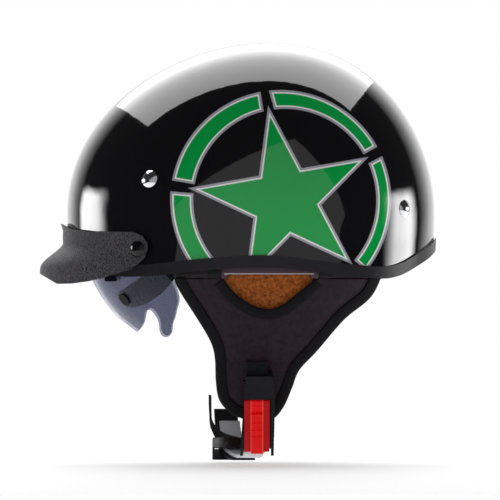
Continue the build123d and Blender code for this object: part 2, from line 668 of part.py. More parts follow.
def branch(rivet, foot):
    """Webbing between the shell and the liner, from below its hanger to the shell's edge."""
    low, high = HANGER_STRIP_BOTTOM - STRAP_RELIEF, rivet[1] + HANGER_WIDTH
    front, rear = min(rivet[0], foot[0]) - HANGER_WIDTH, max(rivet[0], foot[0]) + HANGER_WIDTH
    rows = [front + (rear - front) * i / 12 for i in range(13)]
    columns = [low + (high - low) * j / 12 for j in range(13)]
    grid = [[Vector(half_width(y, z, strap_inset(z)), y, z) for z in columns] for y in rows]
    sheet = Face.make_surface_from_array_of_points(grid, tol=SURFACE_TOLERANCE)
    inward = sheet.normal_at(sheet.center()).X < 0
    web = Part() + thicken(sheet, STRAP_THICKNESS if inward else -STRAP_THICKNESS)
    run = (Vector(*foot) - Vector(*rivet)).normalized()
    start = Vector(*rivet) + run * (HANGER_REACH + HANGER_WIDTH / 2 + 3 * HEM_RADIUS)
    web &= prism(strip((start.X, start.Y), foot, STRAP_WIDTH), 0, BEYOND)
    web &= prism(
        side_face(
            [
                (-BEYOND, HANGER_STRIP_BOTTOM), (BEYOND, HANGER_STRIP_BOTTOM),
                (BEYOND, BEYOND), (-BEYOND, BEYOND),
            ]
        ),
        0, BEYOND,
    )
    return max(web.solids(), key=lambda solid: solid.volume)


branches = [branch(rivet, foot) for rivet, foot in strap_lines]
web_face = strip(FRONT_STRAP_FOOT_YZ, STRAP_JOIN_YZ, STRAP_WIDTH, STRAP_WIDTH / 3)
web_face += strip(REAR_STRAP_FOOT_YZ, STRAP_JOIN_YZ, STRAP_WIDTH, STRAP_WIDTH / 3)
stem_y, stem_z = STRAP_JOIN_YZ
left_tail_z = BUCKLE_TOP_Z + STRAP_WIDTH / 3
tip_y = STRAP_DRIFT_XY[-1][1]
left_web_face = web_face + strip(STRAP_JOIN_YZ, (stem_y, left_tail_z), STRAP_WIDTH)
right_web_face = web_face + strip(STRAP_JOIN_YZ, (tip_y / 2, STRAP_TIP_Z), STRAP_WIDTH)
web_layer = pad_layer(STRAP_DEPTH, STRAP_THICKNESS)
left_web = web_layer & prism(left_web_face & filled_face & below_top, 0, BEYOND)
right_web = web_layer & prism(right_web_face & filled_face & below_top, 0, BEYOND)

# Fabric strip that holds each pad between the shell and the liner, arched over the ear notch
strip_face = strip_zone - (round_face(notch_line, -BINDING_WIDTH) & below(HANGER_STRIP_ARCH))
pad_strip = layer(PAD_TOP_INSET, PAD_TOP_INSET + HANGER_STRIP) & prism(strip_face, 0, BEYOND)
pad_strips = [side for piece in pad_strip.solids() for side in both_sides(Part() + piece)]


# Buckle: lies on an arc about the right strap's swing line, so the tongue slides out freely
swing_radius = math.hypot(BUCKLE_X - SWING_X, BUCKLE_Z - SWING_Z)


def swing_deg(z, lift=0.0):
    """Angle below level at which the arc, moved out by lift, passes a height."""
    return math.degrees(math.asin((SWING_Z - z) / (swing_radius + lift)))


def arc_slab(low, high, top_z, bottom_z, front_y, rear_y):
    """Curved slab between two lifts from the arc, two heights and two fore-aft places."""
    first, last = swing_deg(top_z), swing_deg(bottom_z)
    ring = Circle(swing_radius + high) - Circle(swing_radius + low)
    reach = 2 * swing_radius
    wedge = Polyline(
        (0, 0),
        (reach * math.cos(math.radians(first)), -reach * math.sin(math.radians(first))),
        (reach * math.cos(math.radians(last)), -reach * math.sin(math.radians(last))),
        close=True,
    )
    flat = ring & make_face(wedge)
    plane = Plane((SWING_X, 0, SWING_Z), x_dir=(1, 0, 0), z_dir=(0, -1, 0))
    return extrude(plane * Pos(Z=-rear_y) * flat, rear_y - front_y)


def arc_rod(radius, z, lift, front_y, rear_y):
    """Rod along Y at one height on the arc."""
    angle = math.radians(swing_deg(z, lift))
    x = SWING_X + (swing_radius + lift) * math.cos(angle)
    rod = Cylinder(radius, rear_y - front_y, align=up)
    return Pos(x, front_y, z) * Rot(X=-90) * rod, (x, z)


buckle_outline = prism(side_face(shares(BUCKLE_OUTLINE_SHARES)), 0, BEYOND)
wide_front, wide_rear = CHANNEL_FRONT_Y - LEVER_RIB_WIDTH, CHANNEL_REAR_Y + LEVER_RIB_WIDTH
housing = arc_slab(
    -BUCKLE_UNDER, BUCKLE_OVER, BUCKLE_TOP_Z, BUCKLE_BOTTOM_Z, wide_front, wide_rear
)
housing &= buckle_outline
channel_low = BUCKLE_FLOOR - BUCKLE_UNDER
channel = arc_slab(
    channel_low, 2 * BUCKLE_OVER, HEAD_BLOCK_Z, BUCKLE_BOTTOM_Z - BEYOND / 10,
    CHANNEL_FRONT_Y, CHANNEL_REAR_Y,
)
housing -= channel
bar_front, bar_rear = CHANNEL_FRONT_Y + HEM_RADIUS, CHANNEL_REAR_Y - HEM_RADIUS
bar_room = arc_slab(
    -BUCKLE_UNDER * 2, ANCHOR_BAR_RADIUS * 2, BUCKLE_TOP_Z + BEYOND / 20,
    ANCHOR_BAR_Z - 2 * ANCHOR_BAR_RADIUS, bar_front, bar_rear,
)
housing -= bar_room
anchor_bar, anchor_xz = arc_rod(
    ANCHOR_BAR_RADIUS, ANCHOR_BAR_Z, 0, bar_front - HEM_RADIUS, bar_rear + HEM_RADIUS
)
housing -= anchor_bar
pin_front, pin_rear = CHANNEL_FRONT_Y - HEM_RADIUS, CHANNEL_REAR_Y + HEM_RADIUS
lever_pin, lever_xz = arc_rod(LEVER_PIN_RADIUS, LEVER_Z, LEVER_RISE, pin_front, pin_rear)
housing -= lever_pin
housing = max(housing.solids(), key=lambda solid: solid.volume)

lever_low = LEVER_RISE - LEVER_WALL / 2
lever_plate = arc_slab(
    lever_low, lever_low + LEVER_WALL, LEVER_Z, LEVER_END_Z, LEVER_FRONT_Y, LEVER_REAR_Y
)
rib_middle = (LEVER_FRONT_Y + LEVER_REAR_Y) / 2
lever_rib = arc_slab(
    lever_low, lever_low + LEVER_WALL + LEVER_RIB, LEVER_Z - LEVER_RADIUS * 2, LEVER_END_Z,
    rib_middle - LEVER_RIB_WIDTH / 2, rib_middle + LEVER_RIB_WIDTH / 2,
)
lever_eye, _ = arc_rod(LEVER_RADIUS, LEVER_Z, LEVER_RISE, LEVER_FRONT_Y, LEVER_REAR_Y)
lever_bore, _ = arc_rod(
    LEVER_PIN_RADIUS + RUNNING_GAP, LEVER_Z, LEVER_RISE, pin_front, pin_rear
)
lever = lever_plate + lever_rib + lever_eye - lever_bore
for groove_share in (0.45, 0.6, 0.75):
    groove_z = LEVER_Z + (LEVER_END_Z - LEVER_Z) * groove_share
    notch, _ = arc_rod(
        LEVER_RIB / 2, groove_z, lever_low + LEVER_WALL + LEVER_RIB, LEVER_FRONT_Y, LEVER_REAR_Y
    )
    lever -= notch

tooth_top = TONGUE_WALL / 2 + TOOTH_HEIGHT
pawl_low = tooth_top + RUNNING_GAP * 2
pawl_top_z = LEVER_Z - LEVER_RADIUS * 2
pawl = arc_slab(
    pawl_low, lever_low, pawl_top_z, pawl_top_z - LEVER_RIB_WIDTH / 2,
    TONGUE_FRONT_Y, TONGUE_REAR_Y,
)
spring = arc_slab(
    channel_low, channel_low + STRAP_THICKNESS / 2, HEAD_BLOCK_Z, HEAD_BLOCK_Z - TOOTH_PITCH * 4,
    rib_middle - LEVER_RIB, rib_middle + LEVER_RIB,
)
tongue = arc_slab(
    -TONGUE_WALL / 2, TONGUE_WALL / 2, TONGUE_TOP_Z, CHIN_RUN_XZ[0][1],
    TONGUE_FRONT_Y, TONGUE_REAR_Y,
)


def ribbon(points, thickness):
    """Strap run seen from the front, as even thickness about a smooth line, deep in Y."""
    line = Spline(*[Vector(x, z) for x, z in points])
    count = 4 * len(points)
    sides = []
    for sign in (1, -1):
        side = []
        for i in range(count + 1):
            spot, way = line @ (i / count), line % (i / count)
            side.append(spot + Vector(-way.Y, way.X) * (sign * thickness / 2))
        sides.append(side)
    outline = (
        Spline(*sides[0]) + Line(sides[0][-1], sides[1][-1]) + Spline(*sides[1][::-1])
        + Line(sides[1][0], sides[0][0])
    )
    plane = Plane((0, 0, 0), x_dir=(1, 0, 0), z_dir=(0, -1, 0))
    return extrude(plane * make_face(outline), BEYOND / 4, both=True)


def drift(half, shift=0.0):
    """Band seen from above that carries the strap forward as it crosses under the chin."""
    front = [(x, y - half + shift) for x, y in STRAP_DRIFT_XY]
    rear = [(x, y + half + shift) for x, y in STRAP_DRIFT_XY]
    face = make_face(Polyline(*(front + rear[::-1]), close=True))
    return extrude(Pos(Z=-BEYOND) * face, 2 * BEYOND)


tongue_half = (TONGUE_REAR_Y - TONGUE_FRONT_Y) / 2
tongue_tail = ribbon(CHIN_RUN_XZ, TONGUE_WALL) & drift(tongue_half)
tongue += tongue_tail
for index in range(TEETH):
    tooth_z = TONGUE_TOP_Z - TOOTH_PITCH * (index + 1)
    tongue += arc_slab(
        TONGUE_WALL / 2 - RUNNING_GAP, tooth_top, tooth_z, tooth_z - TOOTH_PITCH / 2,
        TONGUE_FRONT_Y + HEM_RADIUS, TONGUE_REAR_Y - HEM_RADIUS,
    )
chin_web = ribbon(WEB_RUN_XZ, STRAP_THICKNESS) & drift(STRAP_WIDTH / 2, -STRAP_RELIEF)
tail_web = ribbon(TAIL_RUN_XZ, STRAP_THICKNESS) & drift(STRAP_WIDTH / 2, -STRAP_RELIEF * 2)

slider = fillet(
    Box(SLIDER_LENGTH, SLIDER_WIDTH, SLIDER_HEIGHT).edges().filter_by(Axis.Z), SLIDER_BAR
)
slider -= Box(
    2 * SLIDER_LENGTH, SLIDER_WIDTH - 2 * SLIDER_BAR, SLIDER_SLOT
)
slider = Pos(SLIDER_X, STRAP_DRIFT_XY[2][1], SLIDER_Z) * (
    Rot(Y=SLIDER_TILT_DEG) * slider
)

# Short loop of the left webbing, out through a slit in the pad and round the anchor bar
loop_start_z = BUCKLE_TOP_Z + STRAP_WIDTH / 2
loop_points = [
    (pad_x(stem_y, loop_start_z, -SOFT_GAP) + STRAP_THICKNESS / 2, loop_start_z),
    (anchor_xz[0] - ANCHOR_BAR_RADIUS, BUCKLE_TOP_Z + STRAP_WIDTH / 5),
    (anchor_xz[0] + ANCHOR_BAR_RADIUS / 2, anchor_xz[1] + ANCHOR_BAR_RADIUS * 2),
]
left_loop = ribbon(loop_points, STRAP_THICKNESS) & Pos(0, stem_y, 0) * Box(
    2 * BEYOND, bar_rear - bar_front - STRAP_RELIEF, 2 * BEYOND
)

# Right pad swings on a rolled hem at the top of its front arm
hem = Pos(SWING_X, HEM_YS[0], SWING_Z) * Rot(X=-90) * Cylinder(
    HEM_RADIUS, HEM_YS[1] - HEM_YS[0], align=up
)


def flip(left):
    return mirror(left, about=Plane.YZ)


right_leather = flip(leather) + hem
web_mouth = ribbon(WEB_RUN_XZ, STRAP_THICKNESS + 2 * SOFT_GAP) & drift(
    STRAP_WIDTH / 2 + SOFT_GAP, -STRAP_RELIEF
)
right_binding = flip(edge_binding) - web_mouth

os.makedirs("parts", exist_ok=True)
save("outer_shell", outer_shell)
save("edge_beading", bead)
save("impact_liner", impact_liner)
save("comfort_headband", headband)
save("crown_pad", crown_pad)
save("shell_rivets", rivets)
save("rivet_washers", washers)
save("strap_hangers", hangers)
save("lens", lens)
save("lens_arms", both_sides(arm))
save("lens_screws", both_sides(screw))
save("lens_spacers", both_sides(spacer))
save("lens_seat_pads", both_sides(seat_pad))
save("lens_brackets", both_sides(bracket))
save("lens_pivot_screws", both_sides(pivot_screw))
save("lens_stops", both_sides(lens_stop))
save("peak", peak)
save("peak_snap_caps", both_sides(snap_cap))
save("peak_studs", both_sides(stud))
save("left_pad_leather", leather)
save("left_pad_cushion", cushion)
save("left_edge_binding", edge_binding)
save("left_notch_binding", notch_binding)
save("right_pad_leather", right_leather)
save("right_pad_cushion", flip(cushion))
save("right_edge_binding", right_binding)
save("right_notch_binding", flip(notch_binding))
save("pad_hanger_strips", pad_strips)
save("front_strap_branches", both_sides(Part() + branches[0]))
save("rear_strap_branches", both_sides(Part() + branches[1]))
save("left_pad_webbing", left_web)
save("left_buckle_loop", left_loop)
save("right_pad_webbing", flip(right_web))
save("chin_webbing", chin_web)
save("chin_webbing_tail", tail_web)
save("strap_slider", slider)
save("buckle_housing", housing)
save("buckle_anchor_bar", anchor_bar)
save("buckle_lever", lever)
save("buckle_lever_pin", lever_pin)
save("buckle_pawl", pawl)
save("buckle_spring", spring)
save("buckle_tongue", tongue)
print("lever axis x z", lever_xz, "swing radius", swing_radius)
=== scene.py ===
import bpy
import bmesh
import json
import math
import numpy as np
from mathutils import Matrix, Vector

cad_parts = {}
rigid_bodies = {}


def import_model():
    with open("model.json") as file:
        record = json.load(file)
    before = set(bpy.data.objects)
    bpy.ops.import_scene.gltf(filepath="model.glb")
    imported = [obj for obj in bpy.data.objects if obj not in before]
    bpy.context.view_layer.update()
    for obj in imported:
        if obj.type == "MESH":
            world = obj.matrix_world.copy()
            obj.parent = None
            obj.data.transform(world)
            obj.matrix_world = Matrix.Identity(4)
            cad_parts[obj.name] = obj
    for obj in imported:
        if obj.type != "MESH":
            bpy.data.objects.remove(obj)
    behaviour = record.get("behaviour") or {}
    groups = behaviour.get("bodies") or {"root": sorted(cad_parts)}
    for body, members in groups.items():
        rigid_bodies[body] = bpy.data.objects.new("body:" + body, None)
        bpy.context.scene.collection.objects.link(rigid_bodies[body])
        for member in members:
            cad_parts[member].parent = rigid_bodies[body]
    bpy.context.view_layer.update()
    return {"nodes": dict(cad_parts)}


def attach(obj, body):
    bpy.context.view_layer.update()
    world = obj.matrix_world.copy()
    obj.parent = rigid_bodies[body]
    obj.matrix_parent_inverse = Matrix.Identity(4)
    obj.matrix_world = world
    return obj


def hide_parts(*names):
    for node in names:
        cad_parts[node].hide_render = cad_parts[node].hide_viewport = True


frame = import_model()
bpy.ops.object.select_all(action="DESELECT")


# Outer shell. A moulded shell under deep gloss black lacquer, polished, with a trace of
# orange peel. Each side carries a vinyl decal under the clear coat: a plain green star in a
# broken green ring, every shape edged with a thin white line on a silver-grey border.
def new_finish(name, colour, roughness, metallic=0.0, coat=0.0, coat_roughness=0.03):
    """Plain finish of one colour."""
    finish = bpy.data.materials.new(name)
    finish.use_nodes = True
    shader = finish.node_tree.nodes["Principled BSDF"]
    shader.inputs["Base Color"].default_value = (*colour, 1.0)
    shader.inputs["Roughness"].default_value = roughness
    shader.inputs["Metallic"].default_value = metallic
    shader.inputs["Coat Weight"].default_value = coat
    shader.inputs["Coat Roughness"].default_value = coat_roughness
    return finish


def dress(node, finish):
    """Give a CAD node its finish."""
    for place in frame["nodes"][node].material_slots:
        place.material = finish


def feed(tree, socket, value):
    """Lead another socket to this one, or set it to a plain value."""
    if isinstance(value, bpy.types.NodeSocket):
        tree.links.new(value, socket)
    else:
        socket.default_value = value


def add_node(tree, kind, **inputs):
    """New node, its inputs named with an underscore for each space."""
    node = tree.nodes.new(kind)
    for name, value in inputs.items():
        feed(tree, node.inputs[name.replace("_", " ")], value)
    return node


def reckon(tree, operation, *values):
    """One step of arithmetic on sockets or plain numbers."""
    node = tree.nodes.new("ShaderNodeMath")
    node.operation = operation
    for socket, value in zip(node.inputs, values):
        feed(tree, socket, value)
    return node.outputs[0]


MIX_INPUTS = (0, 6, 7)
MIX_RESULT = 2


def blend_colour(tree, share, first, second):
    """Colour between the first, at share 0, and the second, at share 1."""
    node = tree.nodes.new("ShaderNodeMix")
    node.data_type = "RGBA"
    for place, value in zip(MIX_INPUTS, (share, first, second)):
        feed(tree, node.inputs[place], value)
    return node.outputs[MIX_RESULT]


def new_group(name, wants, gives):
    """Empty shader group; wants holds (name, kind, value) and gives holds (name, kind)."""
    tree = bpy.data.node_groups.new(name, "ShaderNodeTree")
    for label, kind, value in wants:
        socket = tree.interface.new_socket(label, in_out="INPUT", socket_type="NodeSocket" + kind)
        socket.default_value = value
    for label, kind in gives:
        tree.interface.new_socket(label, in_out="OUTPUT", socket_type="NodeSocket" + kind)
    return tree, tree.nodes.new("NodeGroupInput"), tree.nodes.new("NodeGroupOutput")


def use_group(finish, tree, **values):
    """Shared group put into a material, with plain values for its inputs."""
    node = finish.node_tree.nodes.new("ShaderNodeGroup")
    node.node_tree = tree
    for name, value in values.items():
        node.inputs[name.replace("_", " ")].default_value = value
    return node


def wire(finish, source, name):
    """Lead a socket to one input of the material's shader."""
    shader = finish.node_tree.nodes["Principled BSDF"]
    finish.node_tree.links.new(source, shader.inputs[name])


def raise_surface(finish, height, distance, strength=1.0):
    """Lead a height from 0 to 1 to the shader's normal; distance is its full depth in metres."""
    tree = finish.node_tree
    bump = tree.nodes.new("ShaderNodeBump")
    bump.inputs["Strength"].default_value = strength
    bump.inputs["Distance"].default_value = distance
    tree.links.new(height, bump.inputs["Height"])
    wire(finish, bump.outputs[0], "Normal")


# handling marks: soft cloudy smears that change the polish a little
smear, smear_in, smear_out = new_group(
    "handling_smears",
    [("Size", "Float", 0.03), ("Base", "Float", 0.1), ("Spread", "Float", 0.05)],
    [("Roughness", "Float"), ("Cloud", "Float")],
)
smear_at = smear.nodes.new("ShaderNodeTexCoord")
smear_cloud = add_node(
    smear, "ShaderNodeTexNoise", Vector=smear_at.outputs["Object"], Detail=4.0, Roughness=0.6,
    Scale=reckon(smear, "DIVIDE", 1.0, smear_in.outputs["Size"]),
)
smear_share = reckon(smear, "SUBTRACT", smear_cloud.outputs[0], 0.5)
smear.links.new(
    reckon(smear, "MULTIPLY_ADD", smear_share, smear_in.outputs["Spread"], smear_in.outputs["Base"]),
    smear_out.inputs["Roughness"],
)
smear.links.new(smear_cloud.outputs[0], smear_out.inputs["Cloud"])

STAR_TIPS = ((0.0112, 0.1272), (0.0866, 0.0888), (0.0747, 0.0078), (-0.0061, -0.0053), (-0.0485, 0.0652))
RING_OUTER = (0.0209, 0.0562, 0.0828)
RING_INNER = (0.0238, 0.0562, 0.0684)
RING_GAPS = (
    ((-0.0597, 0.0708), (-0.0435, 0.0680), (-0.0622, 0.0630), (-0.0446, 0.0613)),
    ((0.0056, 0.1372), (0.0078, 0.1238), (0.0117, 0.1389), (0.0157, 0.1243)),
    ((0.0942, 0.0971), (0.0825, 0.0904), (0.0981, 0.0901), (0.0857, 0.0836)),
)
RING_CUT = ((0.0813, 0.0062), (0.0752, 0.0117))
BORDER_WIDTH = 0.0016
LINE_WIDTH = 0.0011
SOFT_STEP = 0.0002
BLACK = (0.0035, 0.0035, 0.0045, 1.0)
SILVER = (0.36, 0.35, 0.40, 1.0)
WHITE = (0.88, 0.90, 0.90, 1.0)
GREEN = (0.0, 0.36, 0.062, 1.0)

shell_paint = new_finish("shell_paint", BLACK[:3], 0.08, coat=1.0, coat_roughness=0.015)
paint = shell_paint.node_tree
paint_at = paint.nodes.new("ShaderNodeTexCoord")
paint_axes = add_node(paint, "ShaderNodeSeparateXYZ", Vector=paint_at.outputs["Object"])
paint_y, paint_z = paint_axes.outputs["Y"], paint_axes.outputs["Z"]


def side_of(a, b, inside):
    """Distance from the line a-b in the side view, positive towards the point inside."""
    across = Vector((b[1] - a[1], a[0] - b[0])).normalized()
    if across.dot(Vector(inside) - Vector(a)) < 0:
        across = -across
    lift = reckon(paint, "MULTIPLY_ADD", paint_z, across[1], -across.dot(Vector(a)))
    return reckon(paint, "MULTIPLY_ADD", paint_y, across[0], lift)


def round_side(circle, sign):
    """Distance from a circle in the side view, positive inside it for sign 1, outside for -1."""
    flat = add_node(paint, "ShaderNodeCombineXYZ", Y=paint_y, Z=paint_z)
    reach = paint.nodes.new("ShaderNodeVectorMath")
    reach.operation = "DISTANCE"
    paint.links.new(flat.outputs[0], reach.inputs[0])
    reach.inputs[1].default_value = (0.0, circle[0], circle[1])
    return reckon(paint, "MULTIPLY_ADD", reach.outputs["Value"], -sign, sign * circle[2])


star_middle = tuple(sum(tip[i] for tip in STAR_TIPS) / 5 for i in (0, 1))
star_sides = [side_of(STAR_TIPS[i], STAR_TIPS[(i + 2) % 5], star_middle) for i in range(5)]
least = reckon(paint, "MINIMUM", star_sides[0], star_sides[1])
star_field = reckon(paint, "MAXIMUM", star_sides[0], star_sides[1])
for edge in star_sides[2:]:
    star_field = reckon(paint, "MINIMUM", star_field, reckon(paint, "MAXIMUM", least, edge))
    least = reckon(paint, "MINIMUM", least, edge)

ring_field = reckon(paint, "MINIMUM", round_side(RING_OUTER, 1), round_side(RING_INNER, -1))
ring_middle = RING_INNER[:2]
for a, b, c, d in RING_GAPS:
    gap_middle = tuple((a[i] + b[i] + c[i] + d[i]) / 4 for i in (0, 1))
    beyond = tuple(2 * ring_middle[i] - gap_middle[i] for i in (0, 1))
    turn = (ring_middle[0] + gap_middle[1] - ring_middle[1], ring_middle[1] - gap_middle[0] + ring_middle[0])
    first_out = tuple(a[i] + b[i] - gap_middle[i] for i in (0, 1))
    second_out = tuple(c[i] + d[i] - gap_middle[i] for i in (0, 1))
    clear = reckon(paint, "MAXIMUM", side_of(a, b, first_out), side_of(c, d, second_out))
    clear = reckon(paint, "MAXIMUM", clear, side_of(ring_middle, turn, beyond))
    ring_field = reckon(paint, "MINIMUM", ring_field, clear)
front_half = reckon(paint, "MULTIPLY_ADD", paint_y, -1.0, RING_INNER[0])
above_cut = (RING_CUT[0][0], RING_INNER[1])
lower_end = reckon(paint, "MAXIMUM", front_half, side_of(*RING_CUT, above_cut))
ring_field = reckon(paint, "MINIMUM", ring_field, lower_end)
decal_field = reckon(paint, "MAXIMUM", star_field, ring_field)

paint_colour = BLACK
for start, colour in ((0.0, SILVER), (BORDER_WIDTH, WHITE), (BORDER_WIDTH + LINE_WIDTH, GREEN)):
    step = add_node(
        paint, "ShaderNodeMapRange", Value=decal_field, From_Min=start - SOFT_STEP / 2,
        From_Max=start + SOFT_STEP / 2,
    )
    paint_colour = blend_colour(paint, step.outputs[0], paint_colour, colour)
wire(shell_paint, paint_colour, "Base Color")
polish = use_group(shell_paint, smear, Size=0.05, Base=0.06, Spread=0.04)
wire(shell_paint, polish.outputs["Roughness"], "Roughness")
PEEL_SIZE = 260.0
PEEL_DEPTH = 0.0002
PEEL_STRENGTH = 0.012
orange_peel = add_node(
    paint, "ShaderNodeTexNoise", Vector=paint_at.outputs["Object"], Scale=PEEL_SIZE, Detail=1.0
)
raise_surface(shell_paint, orange_peel.outputs[0], PEEL_DEPTH, PEEL_STRENGTH)
dress("outer_shell", shell_paint)


# Edge beading. An extruded black rubber channel pressed over the shell's cut edge all the
# way round; satin, with faint draw lines and a little dust grey in its surface.
grain, grain_in, grain_out = new_group(
    "moulded_grain",
    [("Size", "Float", 0.001), ("Tone", "Float", 0.2), ("Speckle", "Float", 0.1)],
    [("Height", "Float"), ("Tone", "Float")],
)
FUZZ_SIZE_SHARE = 0.35
FUZZ_HEIGHT_SHARE = 0.6
FLECK_SIZE_SHARE = 0.9
grain_at = grain.nodes.new("ShaderNodeTexCoord")
grain_scale = reckon(grain, "DIVIDE", 1.0, grain_in.outputs["Size"])
grain_cells = add_node(
    grain, "ShaderNodeTexVoronoi", Vector=grain_at.outputs["Object"], Scale=grain_scale
)
grain_fuzz = add_node(
    grain, "ShaderNodeTexNoise", Vector=grain_at.outputs["Object"], Detail=3.0,
    Scale=reckon(grain, "MULTIPLY", grain_scale, FUZZ_SIZE_SHARE),
)
grain_height = reckon(
    grain, "MULTIPLY_ADD", grain_fuzz.outputs[0], FUZZ_HEIGHT_SHARE, grain_cells.outputs["Distance"]
)
grain.links.new(grain_height, grain_out.inputs["Height"])
grain_share = reckon(grain, "SUBTRACT", grain_fuzz.outputs[0], 0.5)
grain_tone = reckon(grain, "MULTIPLY_ADD", grain_share, grain_in.outputs["Tone"], 0.5)
grain_fleck = add_node(
    grain, "ShaderNodeTexNoise", Vector=grain_at.outputs["Object"], Detail=1.0,
    Scale=reckon(grain, "MULTIPLY", grain_scale, FLECK_SIZE_SHARE),
)
grain_flecks = reckon(grain, "SUBTRACT", grain_fleck.outputs[0], 0.5)
grain.links.new(
    reckon(grain, "MULTIPLY_ADD", grain_flecks, grain_in.outputs["Speckle"], grain_tone),
    grain_out.inputs["Tone"],
)


def mottle(finish, tone, dark, light):
    """Lead a tone from 0 to 1 to the base colour, between a darker and a lighter shade."""
    wire(finish, blend_colour(finish.node_tree, tone, (*dark, 1.0), (*light, 1.0)), "Base Color")


SMEAR_PER_GRAIN = 12
SMEAR_SPREAD = 0.15


def grained(
    name, dark, light, roughness, size, distance, strength=1.0, tone=1.0, speckle=0.3, shine=0.5, **more
):
    """Moulded or grained finish, pebbled at one size and mottled between two shades."""
    finish = new_finish(name, dark, roughness, **more)
    finish.node_tree.nodes["Principled BSDF"].inputs["Specular IOR Level"].default_value = shine
    pebbles = use_group(finish, grain, Size=size, Tone=tone, Speckle=speckle)
    mottle(finish, pebbles.outputs["Tone"], dark, light)
    raise_surface(finish, pebbles.outputs["Height"], distance, strength)
    smears = use_group(finish, smear, Size=size * SMEAR_PER_GRAIN, Base=roughness, Spread=SMEAR_SPREAD)
    wire(finish, smears.outputs["Roughness"], "Roughness")
    return finish


beading_rubber = grained(
    "beading_rubber", (0.004, 0.004, 0.006), (0.010, 0.009, 0.013), 0.36, 0.0006, 0.0001, 0.4, shine=0.35
)
dress("edge_beading", beading_rubber)


# Impact liner. Black expanded bead foam moulded in one piece, with pockets for the lens,
# the strap grooves and the rivet plates; the beads show as small rounded cells.
liner_foam = grained(
    "liner_foam", (0.010, 0.010, 0.011), (0.032, 0.032, 0.034), 0.8, 0.0034, 0.0009, 0.7
)
dress("impact_liner", liner_foam)


# Rivets, washers and strap hangers. Domed chrome rivets hold the strap hangers of pressed
# steel inside the shell; chrome is polished, the hidden plates are plain zinc-grey steel.
def metal(name, dark, light, roughness, size, spread):
    """Bare metal, clouded between two shades, with handling marks in its polish."""
    finish = new_finish(name, dark, roughness, metallic=1.0)
    marks = use_group(finish, smear, Size=size, Base=roughness, Spread=spread)
    wire(finish, marks.outputs["Roughness"], "Roughness")
    mottle(finish, marks.outputs["Cloud"], dark, light)
    return finish


chrome = metal("chrome", (0.78, 0.79, 0.81), (0.93, 0.93, 0.94), 0.07, 0.002, 0.09)
steel = metal("steel", (0.38, 0.38, 0.40), (0.62, 0.62, 0.63), 0.38, 0.004, 0.3)
dress("shell_rivets", chrome)
for node in ("rivet_washers", "strap_hangers", "lens_pivot_screws", "buckle_spring"):
    dress(node, steel)
black_steel = metal("black_steel", (0.012, 0.012, 0.014), (0.035, 0.035, 0.038), 0.32, 0.003, 0.3)
for node in ("buckle_anchor_bar", "buckle_lever_pin"):
    dress(node, black_steel)


# Drop-down lens. One curved sheet of smoked polycarbonate with a nose cut, clear and
# glossy, held on two black carrier arms by low black screws with rubber seats.
lens_smoke = new_finish("lens_smoke", (0.25, 0.26, 0.33), 0.03)
lens_shader = lens_smoke.node_tree.nodes["Principled BSDF"]
lens_shader.inputs["Transmission Weight"].default_value = 0.9
lens_shader.inputs["Specular IOR Level"].default_value = 0.3
lens_shader.inputs["IOR"].default_value = 1.12
lens_marks = use_group(lens_smoke, smear, Size=0.02, Base=0.03, Spread=0.05)
wire(lens_smoke, lens_marks.outputs["Roughness"], "Roughness")
mottle(lens_smoke, lens_marks.outputs["Cloud"], (0.28, 0.295, 0.38), (0.33, 0.345, 0.44))
dress("lens", lens_smoke)
black_plastic = grained(
    "black_plastic", (0.002, 0.002, 0.004), (0.006, 0.006, 0.011), 0.26, 0.0008, 0.00012, 0.4, shine=0.22
)
gloss_plastic = grained(
    "gloss_plastic", (0.002, 0.002, 0.003), (0.005, 0.005, 0.006), 0.12, 0.0012, 0.00004, 0.2, shine=0.25,
    coat=0.25, coat_roughness=0.05,
)
for node in ("lens_arms", "lens_brackets", "lens_stops", "lens_spacers", "lens_seat_pads"):
    dress(node, black_plastic)
screw_black = grained(
    "screw_black", (0.0008, 0.0008, 0.001), (0.002, 0.002, 0.0025), 0.3, 0.0008, 0.00004, 0.2, shine=0.06
)
dress("lens_screws", screw_black)


# Peak. A short bill of injection-moulded dark grey plastic with a fine pebble grain and a
# matte sheen, held at each end over a steel stud in the shell.
peak_plastic = grained(
    "peak_plastic", (0.0004, 0.0004, 0.0006), (0.070, 0.065, 0.078), 0.40, 0.0008, 0.0006, 1.0, tone=0.4,
    speckle=6.5, shine=0.22,
)
dress("peak", peak_plastic)
dress("peak_studs", steel)


# Buckle. A black moulded housing with a red ratchet lever, a pale toothed tongue and a
# black slider for the webbing; satin mouldings with handling marks.
lever_red = grained(
    "lever_red", (0.80, 0.002, 0.002), (1.0, 0.005, 0.005), 0.34, 0.0012, 0.0001, 0.4, shine=0.2
)
tongue_plastic = grained(
    "tongue_plastic", (0.72, 0.73, 0.76), (0.86, 0.87, 0.90), 0.34, 0.0012, 0.0001, 0.4
)
for node in ("buckle_housing", "strap_slider", "buckle_pawl"):
    dress(node, black_plastic)
dress("buckle_tongue", tongue_plastic)
